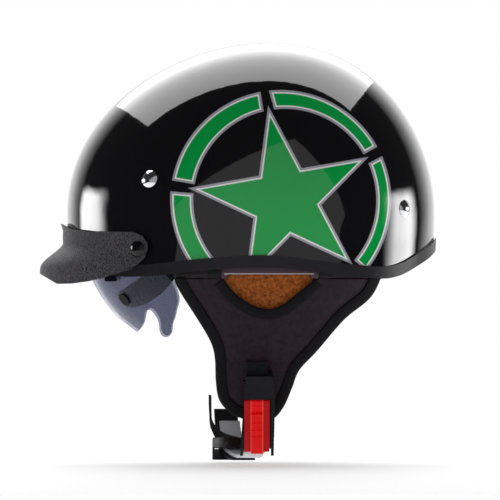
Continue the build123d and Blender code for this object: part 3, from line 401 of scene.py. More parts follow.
# the wings beside the rib sit lower and get painted shade, and the rib's edges get a painted highlight
RIB_MIDDLE = 0.0029
RIB_HALF = 0.00475
RIB_HIGHLIGHT_INSET = 0.0003
RIB_HIGHLIGHT_HALF = 0.00035
WING_SHADE_RED = (0.52, 0.0015, 0.0015, 1.0)
RIB_HIGHLIGHT_RED = (1.0, 0.10, 0.10, 1.0)
lever_tree = lever_red.node_tree
lever_at = lever_tree.nodes.new("ShaderNodeTexCoord")
lever_axes = add_node(lever_tree, "ShaderNodeSeparateXYZ", Vector=lever_at.outputs["Object"])
along_lever = reckon(lever_tree, "SUBTRACT", lever_axes.outputs["Y"], RIB_MIDDLE)
from_rib = reckon(lever_tree, "ABSOLUTE", along_lever)
# masks for the painted shade on the wings and the painted highlight along the rib's edges
in_wing_shade = reckon(lever_tree, "GREATER_THAN", from_rib, RIB_HALF)
in_rib_highlight = reckon(lever_tree, "COMPARE", from_rib, RIB_HALF - RIB_HIGHLIGHT_INSET, RIB_HIGHLIGHT_HALF)
lever_plain = lever_tree.nodes["Principled BSDF"].inputs["Base Color"].links[0].from_socket
lever_shade = blend_colour(lever_tree, in_wing_shade, lever_plain, WING_SHADE_RED)
wire(lever_red, blend_colour(lever_tree, in_rib_highlight, lever_shade, RIB_HIGHLIGHT_RED), "Base Color")
dress("buckle_lever", lever_red)


# Ear pads. Each is a Y of thin dark leather over a suede-faced foam cushion, with a curved
# notch for the ear; the suede runs on across the notch as a thin lining. The panels are
# cut from dense sheets laid on the pad's form: bulged leather outside, crowned suede inside.
MM = 0.001
HALF_LENGTH = 139.7
HALF_WIDTH = 117.0
MIDDLE_Y = -1.7
SPRING_Z = 46.6
DOME_HEIGHT = 129.8
CROWN_SHIFT = 13.3
CROWN_POWER = 2.7
EGG = 0.04
TUCK = 0.01
TUCK_SPAN = 30
PAD_INSET = 6.0
PAD_SLOPE = 0.46
PAD_BEND = 0.0014
PAD_TOP = -2.4
PAD_LINE = (
    (-0.432, 0.012), (-0.402, -0.071), (-0.293, -0.244), (-0.228, -0.358), (-0.206, -0.445),
    (-0.201, -0.570), (-0.185, -0.668), (-0.136, -0.733), (-0.071, -0.771), (0.027, -0.787),
    (0.109, -0.776), (0.168, -0.706), (0.212, -0.603), (0.250, -0.510), (0.347, -0.404),
    (0.489, -0.239), (0.632, -0.119), (0.700, 0.012),
)
NOTCH_LINE = (
    (-0.178, 0.02), (-0.168, -0.005), (-0.098, -0.092), (-0.016, -0.152), (0.065, -0.179),
    (0.147, -0.163), (0.255, -0.081), (0.347, 0.000), (0.36, 0.02),
)
PAD_STEP = 1.6
SNAP_REACH = 2.4 * PAD_STEP
PANEL_Y = (-64, 102)
PANEL_TOP = 20
CURVE_PARTS = 24


def lengths_along(run):
    """Length of a run of points up to each of them."""
    return np.concatenate([[0], np.cumsum(np.linalg.norm(np.diff(run, axis=0), axis=1))])


def flowing(points, count):
    """Even spots along a smooth line through the points, in millimetres."""
    points = np.array(points, float)
    ends = np.vstack([2 * points[0] - points[1], points, 2 * points[-1] - points[-2]])
    run = []
    for a, b, c, d in zip(ends, ends[1:], ends[2:], ends[3:]):
        t = np.linspace(0, 1, CURVE_PARTS, endpoint=False)[:, None]
        run.append(
            0.5 * (2 * b + (c - a) * t + (2 * a - 5 * b + 4 * c - d) * t**2
                   + (3 * b - a - 3 * c + d) * t**3)
        )
    run = np.vstack(run + [points[-1:]])
    reach = lengths_along(run)
    at = np.linspace(0, reach[-1], count)
    return np.stack([np.interp(at, reach, run[:, i]) for i in range(points.shape[1])], axis=1)


def inward(line):
    """Unit normals of a side-view line that runs from the front, round below, to the rear."""
    way = np.gradient(line, axis=0)
    way /= np.linalg.norm(way, axis=1)[:, None]
    return np.stack([-way[:, 1], way[:, 0]], axis=1)


def tucked(z):
    """How far the skirt under the dome draws in, as a share of the full outline."""
    return np.where(z < SPRING_Z, 1 - TUCK * (1 - np.exp(-(((SPRING_Z - z) / TUCK_SPAN) ** 2))), 1.0)


def shell_half_width(y, z, inset):
    """Half width of the shell's dome, or of a layer set in under it."""
    lift = np.maximum(z - SPRING_Z, 0) / (DOME_HEIGHT - inset)
    u = (y - MIDDLE_Y - CROWN_SHIFT * lift**CROWN_POWER) / (HALF_LENGTH - inset)
    v = np.sqrt(np.maximum(tucked(z) ** 2 - lift**2 - u**2, 0))
    return (HALF_WIDTH - inset) * v * (1 + EGG * u)


def pad_side(y, z, depth):
    """Sideways place of the pad's form at a depth under its outer face."""
    fall = np.maximum(-z, 0)
    return shell_half_width(y, z, PAD_INSET) - PAD_SLOPE * fall - PAD_BEND * fall**2 - depth


def holds(loop, y, z):
    """Whether spots lie inside a closed side-view loop."""
    inside = np.zeros(y.shape, bool)
    for (y0, z0), (y1, z1) in zip(loop, np.roll(loop, -1, axis=0)):
        crosses = (z0 > z) != (z1 > z)
        inside ^= crosses & (y < (y1 - y0) * (z - z0) / (z1 - z0 + 1e-12) + y0)
    return inside


def closed_at(line, top):
    """Loop made of a line and a level run over its two ends."""
    return np.vstack([line, [[line[-1][0], top], [line[0][0], top]]])


def level_line(front, rear, height, count):
    """Spots along a level edge in the side view."""
    return np.stack([np.linspace(front, rear, count), np.full(count, height)], axis=1)


def away(line, y, z):
    """Least distance from spots to a line in the side view."""
    return np.min(np.hypot(y[:, None] - line[:, 0], z[:, None] - line[:, 1]), axis=1)


def soften_step(share):
    """Smooth rise from 0 to 1."""
    share = np.clip(share, 0, 1)
    return share * share * (3 - 2 * share)


TAPE_COVER = 1.5
pad_line = flowing(np.array(PAD_LINE) * HALF_LENGTH, 260)
notch_line = flowing(np.array(NOTCH_LINE) * HALF_LENGTH, 110)
pad_cut = pad_line + TAPE_COVER * inward(pad_line)
notch_wide = notch_line - TAPE_COVER * inward(notch_line)
notch_narrow = notch_line + TAPE_COVER * inward(notch_line)


def finished(name, mesh, finish, slot, body, *nodes):
    """Put a finished mesh into the scene, ridden and standing for its CAD nodes; its slot is not used."""
    piece = bpy.data.objects.new(name, mesh)
    bpy.context.scene.collection.objects.link(piece)
    mesh.materials.clear()
    mesh.materials.append(finish)
    mesh.polygons.foreach_set("use_smooth", [True] * len(mesh.polygons))
    mesh.update()
    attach(piece, body)
    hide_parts(*nodes)
    return piece


def tidy_mesh(mesh):
    """Merge doubles and turn every face outwards."""
    form = bmesh.new()
    form.from_mesh(mesh)
    bmesh.ops.remove_doubles(form, verts=form.verts, dist=1e-6)
    bmesh.ops.recalc_face_normals(form, faces=form.faces)
    form.to_mesh(mesh)
    form.free()


def panel(name, inside, edges, outer_depth, inner_depth, sign, low=-112):
    """Closed sheet over a side-view region, its rim drawn to the given edge lines."""
    ys = np.arange(*PANEL_Y, PAD_STEP)
    zs = np.arange(low, PANEL_TOP, PAD_STEP)
    grid_y, grid_z = np.meshgrid(ys, zs, indexing="ij")
    middle_y, middle_z = grid_y[:-1, :-1] + PAD_STEP / 2, grid_z[:-1, :-1] + PAD_STEP / 2
    kept = inside(middle_y.ravel(), middle_z.ravel()).reshape(middle_y.shape)
    number = np.full(grid_y.shape, -1)
    cells = []
    for i, j in zip(*np.nonzero(kept)):
        cells.append([(i, j), (i + 1, j), (i + 1, j + 1), (i, j + 1)])
    spots = sorted({corner for cell in cells for corner in cell})
    for k, (i, j) in enumerate(spots):
        number[i, j] = k
    y = np.array([grid_y[spot] for spot in spots])
    z = np.array([grid_z[spot] for spot in spots])
    quads = [[int(number[corner]) for corner in cell] for cell in cells]
    sides = dict.fromkeys((a, b) for quad in quads for a, b in zip(quad, quad[1:] + quad[:1]))
    rim = [(a, b) for a, b in sides if (b, a) not in sides]
    line = np.vstack(edges)
    for k in sorted({k for pair in rim for k in pair}):
        gaps = np.hypot(line[:, 0] - y[k], line[:, 1] - z[k])
        near = np.argmin(gaps)
        if gaps[near] < SNAP_REACH:
            y[k], z[k] = line[near]
    outer = np.stack([sign * pad_side(y, z, outer_depth(y, z)), y, z], axis=1) * MM
    inner = np.stack([sign * pad_side(y, z, inner_depth(y, z)), y, z], axis=1) * MM
    count = len(y)
    faces = quads + [[k + count for k in quad[::-1]] for quad in quads]
    faces += [[b, a, a + count, b + count] for a, b in rim]
    mesh = bpy.data.meshes.new(name)
    mesh.from_pydata(np.vstack([outer, inner]).tolist(), [], faces)
    tidy_mesh(mesh)
    return mesh


def ripple(y, z, size, height):
    """Slow unevenness of a hand-laid sheet, the same on every run."""
    wave = np.sin(y / size + 1.3 * np.sin(z / size * 0.7))
    return height * (wave * np.cos(z / size * 0.8 + 0.4 * y / size))


BEYOND_TOP = 9
LINING_TOP = 2.5


def leather_region(y, z):
    """Inside the pad's edge and outside the ear notch."""
    notch = holds(closed_at(notch_wide, BEYOND_TOP), y, z)
    return holds(closed_at(pad_cut, BEYOND_TOP), y, z) & ~notch & (z < PAD_TOP)


def cushion_region(y, z):
    """Inside the pad's edge, and on over the ear notch as a thin lining."""
    lining = holds(closed_at(notch_narrow, BEYOND_TOP), y, z) & (z < LINING_TOP)
    return (holds(closed_at(pad_cut, BEYOND_TOP), y, z) & (z < PAD_TOP)) | lining


LEATHER_BULGE = 0.9
LEATHER_BACK = 1.9
BULGE_FROM, BULGE_FADE = 6, 12
BULGE_LOW, BULGE_LOW_FADE = -66, 14
CUSHION_FACE = 4.3
LINING_THICKNESS = 1.4
CUSHION_FILL, FILL_FADE = 3.6, 11
CUSHION_CROWN, CROWN_FROM, CROWN_FADE = 3.2, 9.5, 15


def leather_outer(y, z):
    """Depth of the leather's outer face, bulged out between its bindings."""
    from_seams = np.minimum(away(pad_line, y, z), away(notch_line, y, z))
    rise = soften_step((from_seams - BULGE_FROM) / BULGE_FADE)
    rise *= soften_step((z - BULGE_LOW) / BULGE_LOW_FADE)
    return -LEATHER_BULGE * rise + ripple(y, z, 6.5, 0.12) * rise


def cushion_inner(y, z):
    """Depth of the suede's inner face: thin over the ear, crowned in the middle of the pad."""
    from_edge = away(pad_line, y, z)
    in_notch = holds(closed_at(notch_line, BEYOND_TOP), y, z)
    from_notch = np.where(in_notch, 0, away(notch_line, y, z))
    base = LINING_THICKNESS + CUSHION_FILL * soften_step(from_notch / FILL_FADE)
    crown = soften_step((from_edge - CROWN_FROM) / CROWN_FADE) * soften_step(from_notch / CROWN_FADE)
    return CUSHION_FACE + base + CUSHION_CROWN * crown + ripple(y, z, 5.0, 0.18) * crown


def even_depth(depth):
    """Level face at one depth, for a panel."""
    return lambda y, z: 0 * y + depth


pad_leather = grained(
    "pad_leather", (0.007, 0.0028, 0.0052), (0.022, 0.0115, 0.0185), 0.42, 0.0013, 0.00022, 0.6, tone=1.6,
    shine=0.17,
)
pad_suede = grained(
    "pad_suede", (0.10, 0.024, 0.004), (0.40, 0.115, 0.022), 0.9, 0.0009, 0.0003, 0.7, tone=2.2,
    speckle=0.8, shine=0.1,
)
pad_suede.node_tree.nodes["Principled BSDF"].inputs["Sheen Weight"].default_value = 0.06
SIDES = (("left", 1, "helmet"), ("right", -1, "right_strap"))
pad_top = level_line(-70, 110, PAD_TOP, 300)
leather_edges = [pad_cut, notch_wide, pad_top]
cushion_edges = [
    pad_cut, notch_narrow[notch_narrow[:, 1] > PAD_TOP], pad_top, level_line(-24, 50, LINING_TOP, 120),
]
for side, sign, body in SIDES:
    name = side + "_leather"
    mesh = panel(name, leather_region, leather_edges, leather_outer, even_depth(LEATHER_BACK), sign)
    skin = finished(name, mesh, pad_leather, "pad_leather", body, side + "_pad_leather")
    name = side + "_cushion"
    mesh = panel(name, cushion_region, cushion_edges, even_depth(CUSHION_FACE), cushion_inner, sign)
    foam = finished(name, mesh, pad_suede, "pad_suede", body, side + "_pad_cushion")


# Snap caps. One low glossy dome a side, turned down into a short straight skirt, pressed
# over the peak and onto the stud in the shell.
CAP_SPOT = (-84.6, 19.9)
CAP_RADIUS = 6.25
CAP_TOP = 5.8
CAP_DOME = 1.9
CAP_CURVE = (
    (0.001, 1.0), (0.25, 0.96), (0.5, 0.82), (0.7, 0.62), (0.85, 0.36), (0.95, 0.14), (1.0, 0.0),
    (1.0, -1.0),
)
CAP_TURNS = 40


def shell_spot(y, z):
    """Point on the left side of the shell, in millimetres."""
    return Vector((float(shell_half_width(np.array(y), np.array(z), 0)), y, z))


cap_y, cap_z = CAP_SPOT
cap_heart = shell_spot(cap_y, cap_z)
cap_along = shell_spot(cap_y + 1, cap_z) - cap_heart
cap_out = cap_along.cross(shell_spot(cap_y, cap_z + 1) - cap_heart).normalized()
cap_along.normalize()
cap_up = cap_out.cross(cap_along)
cap_verts, cap_faces = [], []
for sign in (1, -1):
    base = len(cap_verts)
    for share, height in CAP_CURVE:
        for turn in range(CAP_TURNS):
            angle = math.tau * turn / CAP_TURNS
            spot = cap_heart + cap_out * (CAP_TOP - CAP_DOME * (1 - height))
            spot += (cap_along * math.cos(angle) + cap_up * math.sin(angle)) * CAP_RADIUS * share
            cap_verts.append((spot.x * sign * MM, spot.y * MM, spot.z * MM))
    for ring in range(len(CAP_CURVE) - 1):
        for turn in range(CAP_TURNS):
            a = base + ring * CAP_TURNS + turn
            b = base + ring * CAP_TURNS + (turn + 1) % CAP_TURNS
            cap_faces.append((a, b, b + CAP_TURNS, a + CAP_TURNS))
    for ring in (0, len(CAP_CURVE) - 1):
        cap_faces.append(tuple(base + ring * CAP_TURNS + turn for turn in range(CAP_TURNS)))
cap_mesh = bpy.data.meshes.new("peak_caps")
cap_mesh.from_pydata(cap_verts, [], cap_faces)
tidy_mesh(cap_mesh)
finished("peak_caps", cap_mesh, gloss_plastic, "gloss_plastic", "peak_unit", "peak_snap_caps")


# Bindings. Black woven tape folded over the pads' raw edges and sewn down; swept along the
# edge with the tape's rounded fold as its section, and woven in its material.
weave, weave_in, weave_out = new_group(
    "woven_tape",
    [("Thread", "Float", 0.0008), ("Slant", "Float", 1.0)],
    [("Height", "Float"), ("Tone", "Float")],
)
weave_at = weave.nodes.new("ShaderNodeUVMap")
weave_axes = add_node(weave, "ShaderNodeSeparateXYZ", Vector=weave_at.outputs[0])
turns = reckon(weave, "DIVIDE", math.pi, weave_in.outputs["Thread"])
warp = reckon(weave, "SINE", reckon(weave, "MULTIPLY", weave_axes.outputs["X"], turns))
weft_turns = reckon(weave, "MULTIPLY", turns, weave_in.outputs["Slant"])
weft_at = reckon(weave, "MULTIPLY", weave_axes.outputs["Y"], weft_turns)
weft = reckon(weave, "SINE", weft_at)
over = reckon(weave, "GREATER_THAN", reckon(weave, "MULTIPLY", warp, weft), 0.0)
under = reckon(weave, "SUBTRACT", 1.0, over)
weave_height = reckon(
    weave, "ADD", reckon(weave, "MULTIPLY", over, reckon(weave, "ABSOLUTE", weft)),
    reckon(weave, "MULTIPLY", under, reckon(weave, "ABSOLUTE", warp)),
)
weave.links.new(weave_height, weave_out.inputs["Height"])
weave_point = weave.nodes.new("ShaderNodeTexCoord")
weave_fuzz = add_node(
    weave, "ShaderNodeTexNoise", Vector=weave_point.outputs["Object"], Scale=900.0, Detail=2.0
)
half_fuzz = reckon(weave, "MULTIPLY", weave_fuzz.outputs[0], 0.5)
weave.links.new(reckon(weave, "MULTIPLY_ADD", weave_height, 0.5, half_fuzz), weave_out.inputs["Tone"])


THREAD_DEPTH = 0.0002
THREAD_STRENGTH = 0.8


def woven(name, dark, light, roughness, thread, slant):
    """Woven tape, its threads laid along the piece's own map."""
    finish = new_finish(name, dark, roughness)
    cloth = use_group(finish, weave, Thread=thread, Slant=slant)
    mottle(finish, cloth.outputs["Tone"], dark, light)
    raise_surface(finish, cloth.outputs["Height"], THREAD_DEPTH, THREAD_STRENGTH)
    shader = finish.node_tree.nodes["Principled BSDF"]
    shader.inputs["Sheen Weight"].default_value = 0.02
    shader.inputs["Specular IOR Level"].default_value = 0.15
    return finish


def sweep(name, rings, along):
    """Closed body through rings of points, capped at both ends, with a map in metres."""
    rings = np.array(rings) * MM
    count, size = rings.shape[:2]
    faces = []
    for i in range(count - 1):
        for j in range(size):
            k = (j + 1) % size
            faces.append([i * size + j, i * size + k, (i + 1) * size + k, (i + 1) * size + j])
    faces.append(list(range(size))[::-1])
    faces.append([(count - 1) * size + j for j in range(size)])
    mesh = bpy.data.meshes.new(name)
    mesh.from_pydata(rings.reshape(-1, 3).tolist(), [], faces)
    round_way = lengths_along(rings[0])
    layer = mesh.uv_layers.new(name="tape")
    for face in mesh.polygons:
        for corner in face.loop_indices:
            ring, spot = divmod(mesh.loops[corner].vertex_index, size)
            across = round_way[spot]
            far = max(mesh.loops[c].vertex_index % size for c in face.loop_indices)
            if spot == 0 and far == size - 1:
                across = round_way[-1] + np.linalg.norm(rings[0][0] - rings[0][-1])
            layer.data[corner].uv = (along[ring] * MM, across)
    form = bmesh.new()
    form.from_mesh(mesh)
    bmesh.ops.recalc_face_normals(form, faces=form.faces)
    form.to_mesh(mesh)
    form.free()
    return mesh


EDGE_FOLD = (
    (8.0, -0.5), (8.0, -1.1), (7.5, -1.45), (4.0, -1.6), (1.4, -1.4), (0.4, -0.8), (0.0, 0.3),
    (0.0, 4.6), (0.0, 9.0), (0.4, 10.1), (1.4, 10.7), (4.0, 10.9), (7.5, 10.75), (8.0, 10.4),
    (8.0, 9.8), (1.5, 9.7), (1.1, 9.3), (1.1, 4.6), (1.1, 0.0), (1.5, -0.4),
)
NOTCH_FOLD = (
    (-8.0, -0.5), (-8.0, -1.1), (-7.5, -1.45), (-4.0, -1.6), (-1.4, -1.4), (-0.4, -0.8),
    (0.0, 0.3), (0.0, 3.4), (-0.3, 3.8), (-0.8, 3.8), (-1.1, 3.4), (-1.1, 0.0), (-1.5, -0.4),
)
TAPE_TOP = PAD_TOP + 0.4
binding_fabric = woven(
    "binding_fabric", (0.0008, 0.0008, 0.0012), (0.006, 0.006, 0.008), 0.75, 0.0008, 1.0
)


def folded_tape(name, line, fold, sign):
    """Tape swept along a side-view line; fold holds (inward reach, depth) of its section."""
    line = line[line[:, 1] < TAPE_TOP]
    normals = inward(line)
    rings = []
    for spot, normal in zip(line, normals):
        ring = []
        for reach, depth in fold:
            y, z = spot + normal * reach
            z = min(z, TAPE_TOP)
            ring.append((sign * float(pad_side(np.array(y), np.array(z), depth)), y, z))
        rings.append(ring)
    return sweep(name, rings, lengths_along(line))


for side, sign, body in SIDES:
    for place, line, fold in (("edge", pad_line, EDGE_FOLD), ("notch", notch_line, NOTCH_FOLD)):
        name = f"{side}_{place}_tape"
        tape = folded_tape(name, line, fold, sign)
        finished(name, tape, binding_fabric, "binding_fabric", body, f"{side}_{place}_binding")


# Straps and hanger strips. Black nylon webbing, 18 mm wide, woven in fine ribs; the hidden
# runs are close copies of their CAD forms with rounded selvedges, the chin runs are swept.
webbing = woven("webbing", (0.004, 0.004, 0.005), (0.034, 0.033, 0.037), 0.7, 0.0012, 0.7)
hidden_webbing = grained(
    "hidden_webbing", (0.0015, 0.0015, 0.002), (0.011, 0.011, 0.013), 0.7, 0.0010, 0.0002, 0.8, shine=0.2
)
STRAP_COPIES = (
    ("front_branches", "front_strap_branches", "helmet", 0.0006),
    ("rear_branches", "rear_strap_branches", "helmet", 0.0006),
    ("left_web", "left_pad_webbing", "helmet", 0.0006),
    ("right_web", "right_pad_webbing", "right_strap", 0.0006),
    ("buckle_loop", "left_buckle_loop", "helmet", 0.0005),
)


def softened(name, node, body, voxel):
    """Rounded copy of a CAD piece: its mesh merged, remeshed finely and relaxed."""
    mesh = frame["nodes"][node].data.copy()
    mesh.name = name
    tidy_mesh(mesh)
    piece = finished(name, mesh, hidden_webbing, "webbing", body, node)
    parent, piece.parent = piece.parent, None
    bpy.context.view_layer.objects.active = piece
    piece.select_set(True)
    knit = piece.modifiers.new("knit", "REMESH")
    knit.mode = "VOXEL"
    knit.voxel_size = voxel
    bpy.ops.object.modifier_apply(modifier="knit")
    relax = piece.modifiers.new("relax", "SMOOTH")
    relax.iterations = 2
    bpy.ops.object.modifier_apply(modifier="relax")
    piece.select_set(False)
    piece.data.materials.clear()
    piece.data.materials.append(hidden_webbing)
    piece.data.polygons.foreach_set("use_smooth", [True] * len(piece.data.polygons))
    piece.parent = parent


STRIP_FROM, STRIP_TO = -0.07, 0.10
STRIP_ZONES = (
    (-0.060, 0), (-0.0465, 1), (-0.0345, 0), (-0.0236, 2), (0.0486, 0), (0.060, 1), (0.0865, 0),
)
STRIP_SHADES = ((0.001, 0.001, 0.0015, 1.0), (0.012, 0.006, 0.009, 1.0), (0.060, 0.036, 0.046, 1.0))
PALE_EDGE = (0.34, 0.32, 0.34, 1.0)
PALE_EDGE_Z, PALE_EDGE_HALF = 0.0011, 0.0006
PALE_EDGE_Y = (-0.0215, 0.0455)
strip_skin = grained(
    "strip_skin", (0.012, 0.006, 0.009), (0.020, 0.011, 0.016), 0.45, 0.0013, 0.0002, 0.5, shine=0.25
)
strip_tree = strip_skin.node_tree
strip_at = strip_tree.nodes.new("ShaderNodeTexCoord")
strip_axes = add_node(strip_tree, "ShaderNodeSeparateXYZ", Vector=strip_at.outputs["Object"])
strip_along = add_node(
    strip_tree, "ShaderNodeMapRange", Value=strip_axes.outputs["Y"], From_Min=STRIP_FROM,
    From_Max=STRIP_TO,
)
strip_ramp = add_node(strip_tree, "ShaderNodeValToRGB", Fac=strip_along.outputs[0])
strip_ramp.color_ramp.interpolation = "CONSTANT"
strip_stops = strip_ramp.color_ramp.elements
strip_stops[0].color = STRIP_SHADES[0]
for stop, (place, shade) in enumerate(STRIP_ZONES):
    share = (place - STRIP_FROM) / (STRIP_TO - STRIP_FROM)
    spot = strip_stops[1] if stop == 0 else strip_stops.new(share)
    spot.position = share
    spot.color = STRIP_SHADES[shade]
edge_low = reckon(strip_tree, "COMPARE", strip_axes.outputs["Z"], PALE_EDGE_Z, PALE_EDGE_HALF)
edge_front = reckon(strip_tree, "GREATER_THAN", strip_axes.outputs["Y"], PALE_EDGE_Y[0])
edge_rear = reckon(strip_tree, "LESS_THAN", strip_axes.outputs["Y"], PALE_EDGE_Y[1])
edge_run = reckon(strip_tree, "MULTIPLY", edge_front, edge_rear)
edge_here = reckon(strip_tree, "MULTIPLY", edge_low, edge_run)
wire(strip_skin, blend_colour(strip_tree, edge_here, strip_ramp.outputs[0], PALE_EDGE), "Base Color")

STRIP_Y = (-60.0, 97.4)
STRIP_TOP = 16.6
STRIP_LOW = -2.5
STRIP_LIP = 0.8
STRIP_FACE = 0.05
CORNER_LAP = 1.6


def strip_region(y, z, tape_clear):
    """Where the strip is: over the ear opening only down to its lip, clear of the notch tape."""
    over_ear = holds(closed_at(notch_narrow, BEYOND_TOP), y, z) & (z < STRIP_LIP)
    over_ear &= away(notch_narrow, y, z) > CORNER_LAP
    over_tape = holds(closed_at(notch_wide, BEYOND_TOP), y, z) & (z < tape_clear)
    return (y > STRIP_Y[0]) & (y < STRIP_Y[1]) & (z < STRIP_TOP) & ~over_ear & ~over_tape


strip_edges = [
    level_line(-62, 100, STRIP_LOW, 400), level_line(-62, 100, STRIP_TOP, 400),
    level_line(-24, 48, STRIP_LIP, 160),
]
strip_pieces = []
# the right pad swings, so its strip stays higher over the notch tape
for side, sign, tape_clear in (("left", 1, STRIP_LOW), ("right", -1, 0.4)):
    strip_pieces.append(panel(
        side + "_hanger_strip", lambda y, z: strip_region(y, z, tape_clear), strip_edges,
        even_depth(STRIP_FACE), even_depth(LEATHER_BACK), sign, low=-3,
    ))
strips = bmesh.new()
for mesh in strip_pieces:
    strips.from_mesh(mesh)
hanger_mesh = bpy.data.meshes.new("hanger_strips")
strips.to_mesh(hanger_mesh)
strips.free()
finished("hanger_strips", hanger_mesh, strip_skin, "pad_leather", "helmet", "pad_hanger_strips")
for row in STRAP_COPIES:
    softened(*row)

CHIN_RUN = (
    (28.0, -139.2), (16.0, -137.3), (0.0, -131.8), (-15.0, -125.2), (-28.0, -118.6),
    (-37.0, -111.4), (-43.6, -103.0),
)
TAIL_RUN = ((6.0, -128.7), (-8.0, -122.8), (-22.0, -113.5), (-29.0, -102.0), (-30.0, -92.0))
STRAP_DRIFT = ((-45.0, -19.0), (5.0, -15.0), (40.0, 0.0), (70.0, 3.0))
WEB_EDGE = (
    (-9.0, 0.0), (-8.8, 0.6), (-8.2, 0.8), (0.0, 0.8), (8.2, 0.8), (8.8, 0.6), (9.0, 0.0),
    (8.8, -0.6), (8.2, -0.8), (0.0, -0.8), (-8.2, -0.8), (-8.8, -0.6),
)
TURN_FROM, TURN_SPAN = 0.2, 0.45
CHIN_PIECES = (
    ("chin_strap", CHIN_RUN, -2.0, 70, 0.0, 0.0, "chin_webbing"),
    ("chin_tail", TAIL_RUN, -4.0, 50, math.radians(88), 11.0, "chin_webbing_tail"),
)


def strap(name, run, shift, count, turn, lean):
    """Flat webbing along a run seen from the front as (x, z), drifting forward as it goes.

    Its last part turns by the given angle and leans forward by the given length.
    """
    line = flowing(run, count)
    normals = inward(line)
    drift = np.array(STRAP_DRIFT)
    rings = []
    for i, ((x, z), (nx, nz)) in enumerate(zip(line, normals)):
        late = float(soften_step((i / (count - 1) - TURN_FROM) / TURN_SPAN))
        sine, cosine = math.sin(turn * late), math.cos(turn * late)
        across_way = np.array([nx * sine, cosine, nz * sine])
        rise_way = np.array([nx * cosine, -sine, nz * cosine])
        middle = np.interp(x, drift[:, 0], drift[:, 1]) + shift - lean * late
        place = np.array([x, middle, z])
        rings.append([tuple(place + across * across_way + rise * rise_way) for across, rise in WEB_EDGE])
    return sweep(name, rings, lengths_along(line))


for name, run, shift, count, turn, lean, node in CHIN_PIECES:
    mesh = strap(name, run, shift, count, turn, lean)
    finished(name, mesh, webbing, "webbing", "right_strap", node)


# Headband and crown pad. Brushed dark lining sewn round soft foam, drawn in along its
# seams; the band rings the head inside the foam liner and the round pad sits in the crown.
comfort_fabric = grained(
    "comfort_fabric", (0.014, 0.008, 0.010), (0.045, 0.030, 0.036), 0.9, 0.0010, 0.0003, 0.7, tone=2.0,
    shine=0.2,
)
comfort_fabric.node_tree.nodes["Principled BSDF"].inputs["Sheen Weight"].default_value = 0.12
EDGE_LINE = (
    (-1.07, 0.038), (-0.966, 0.036), (-0.858, 0.022), (-0.760, 0.000), (-0.613, -0.007),
    (-0.461, 0.005), (-0.369, 0.016), (-0.174, 0.033), (0.092, 0.043), (0.347, 0.016),
    (0.624, -0.014), (0.700, -0.018), (0.798, 0.002), (0.885, 0.049), (0.988, 0.128),
)
BAND_TURNS = 240
BAND_SECTION = 28
BAND_LOW, BAND_TOP = 1.3, 43.8
BAND_GAP = 0.6
BAND_REACH = 114
BAND_TUCKS = 12
BAND_ROUND = 0.6
BAND_SWELL = 0.75
QUILT_SHARE = 0.55
PADDING_INSET = 25.8
PADDING_HALF = 2.9


def dome_spot(u, v, inset, height, shift=0.0):
    """Point of a layer set in under the shell, by its shares of the dome's length and width."""
    return (
        (HALF_WIDTH - inset) * v * (1 + EGG * u) * MM,
        (MIDDLE_Y + (HALF_LENGTH - inset) * u + shift) * MM,
        height * MM,
    )


def signed_power(value, power):
    """Power of a value's size, with its sign kept: flattens a circle into a soft box."""
    return math.copysign(abs(value) ** power, value)


edge_line = np.array(EDGE_LINE) * HALF_LENGTH
band_spots, band_faces = [], []
for i in range(BAND_TURNS):
    turn = math.tau * i / BAND_TURNS
    quilt = abs(math.sin(BAND_TUCKS / 2 * turn)) ** 0.35
    edge = float(np.interp(MIDDLE_Y + BAND_REACH * math.cos(turn), edge_line[:, 0], edge_line[:, 1]))
    low = max(BAND_LOW, edge + BAND_GAP)
    after = (i + 1) % BAND_TURNS
    for j in range(BAND_SECTION):
        angle = math.tau * j / BAND_SECTION
        z = (low + BAND_TOP) / 2 + (BAND_TOP - low) / 2 * signed_power(math.sin(angle), BAND_ROUND)
        swell = signed_power(math.cos(angle), BAND_SWELL)
        thickness = PADDING_HALF if swell < 0 else PADDING_HALF * (1 - QUILT_SHARE + QUILT_SHARE * quilt)
        tuck = float(tucked(z))
        u, v = tuck * math.cos(turn), tuck * math.sin(turn)
        band_spots.append(dome_spot(u, v, PADDING_INSET + thickness * swell, z))
        a, b = i * BAND_SECTION + j, i * BAND_SECTION + (j + 1) % BAND_SECTION
        c, d = after * BAND_SECTION + (j + 1) % BAND_SECTION, after * BAND_SECTION + j
        band_faces.append([a, b, c, d])
band_mesh = bpy.data.meshes.new("headband")
band_mesh.from_pydata(band_spots, [], band_faces)
tidy_mesh(band_mesh)
headband = finished("headband", band_mesh, comfort_fabric, "comfort_fabric", "helmet", "comfort_headband")

PAD_TURNS = 96
PAD_RINGS = 26
PAD_REACH = math.radians(45.0)
PAD_FACE = 23.2
PAD_SEAMS = 6
crown_spots, crown_faces = [], []
for layer in (0, 1):
    for j in range(PAD_RINGS + 1):
        share = j / PAD_RINGS
        puff = max(1 - share**6, 0.0) ** 0.5
        for i in range(PAD_TURNS if j else 1):
            turn = math.tau * i / PAD_TURNS
            across = abs(math.sin(PAD_SEAMS / 2 * turn)) * share
            seam = min(1.0, across * 4 + 0.25) ** 0.4 if j else 0.75
            if layer == 0:
                inset = PAD_FACE + (1 - puff) * (PADDING_INSET - PAD_FACE)
            else:
                inset = PADDING_INSET + PADDING_HALF * puff * (0.5 + 0.5 * seam)
            lift, out = math.cos(PAD_REACH * share), math.sin(PAD_REACH * share)
            height = SPRING_Z + (DOME_HEIGHT - inset) * lift
            shift = CROWN_SHIFT * lift**CROWN_POWER
            crown_spots.append(dome_spot(out * math.cos(turn), out * math.sin(turn), inset, height, shift))
layer_size = 1 + PAD_RINGS * PAD_TURNS
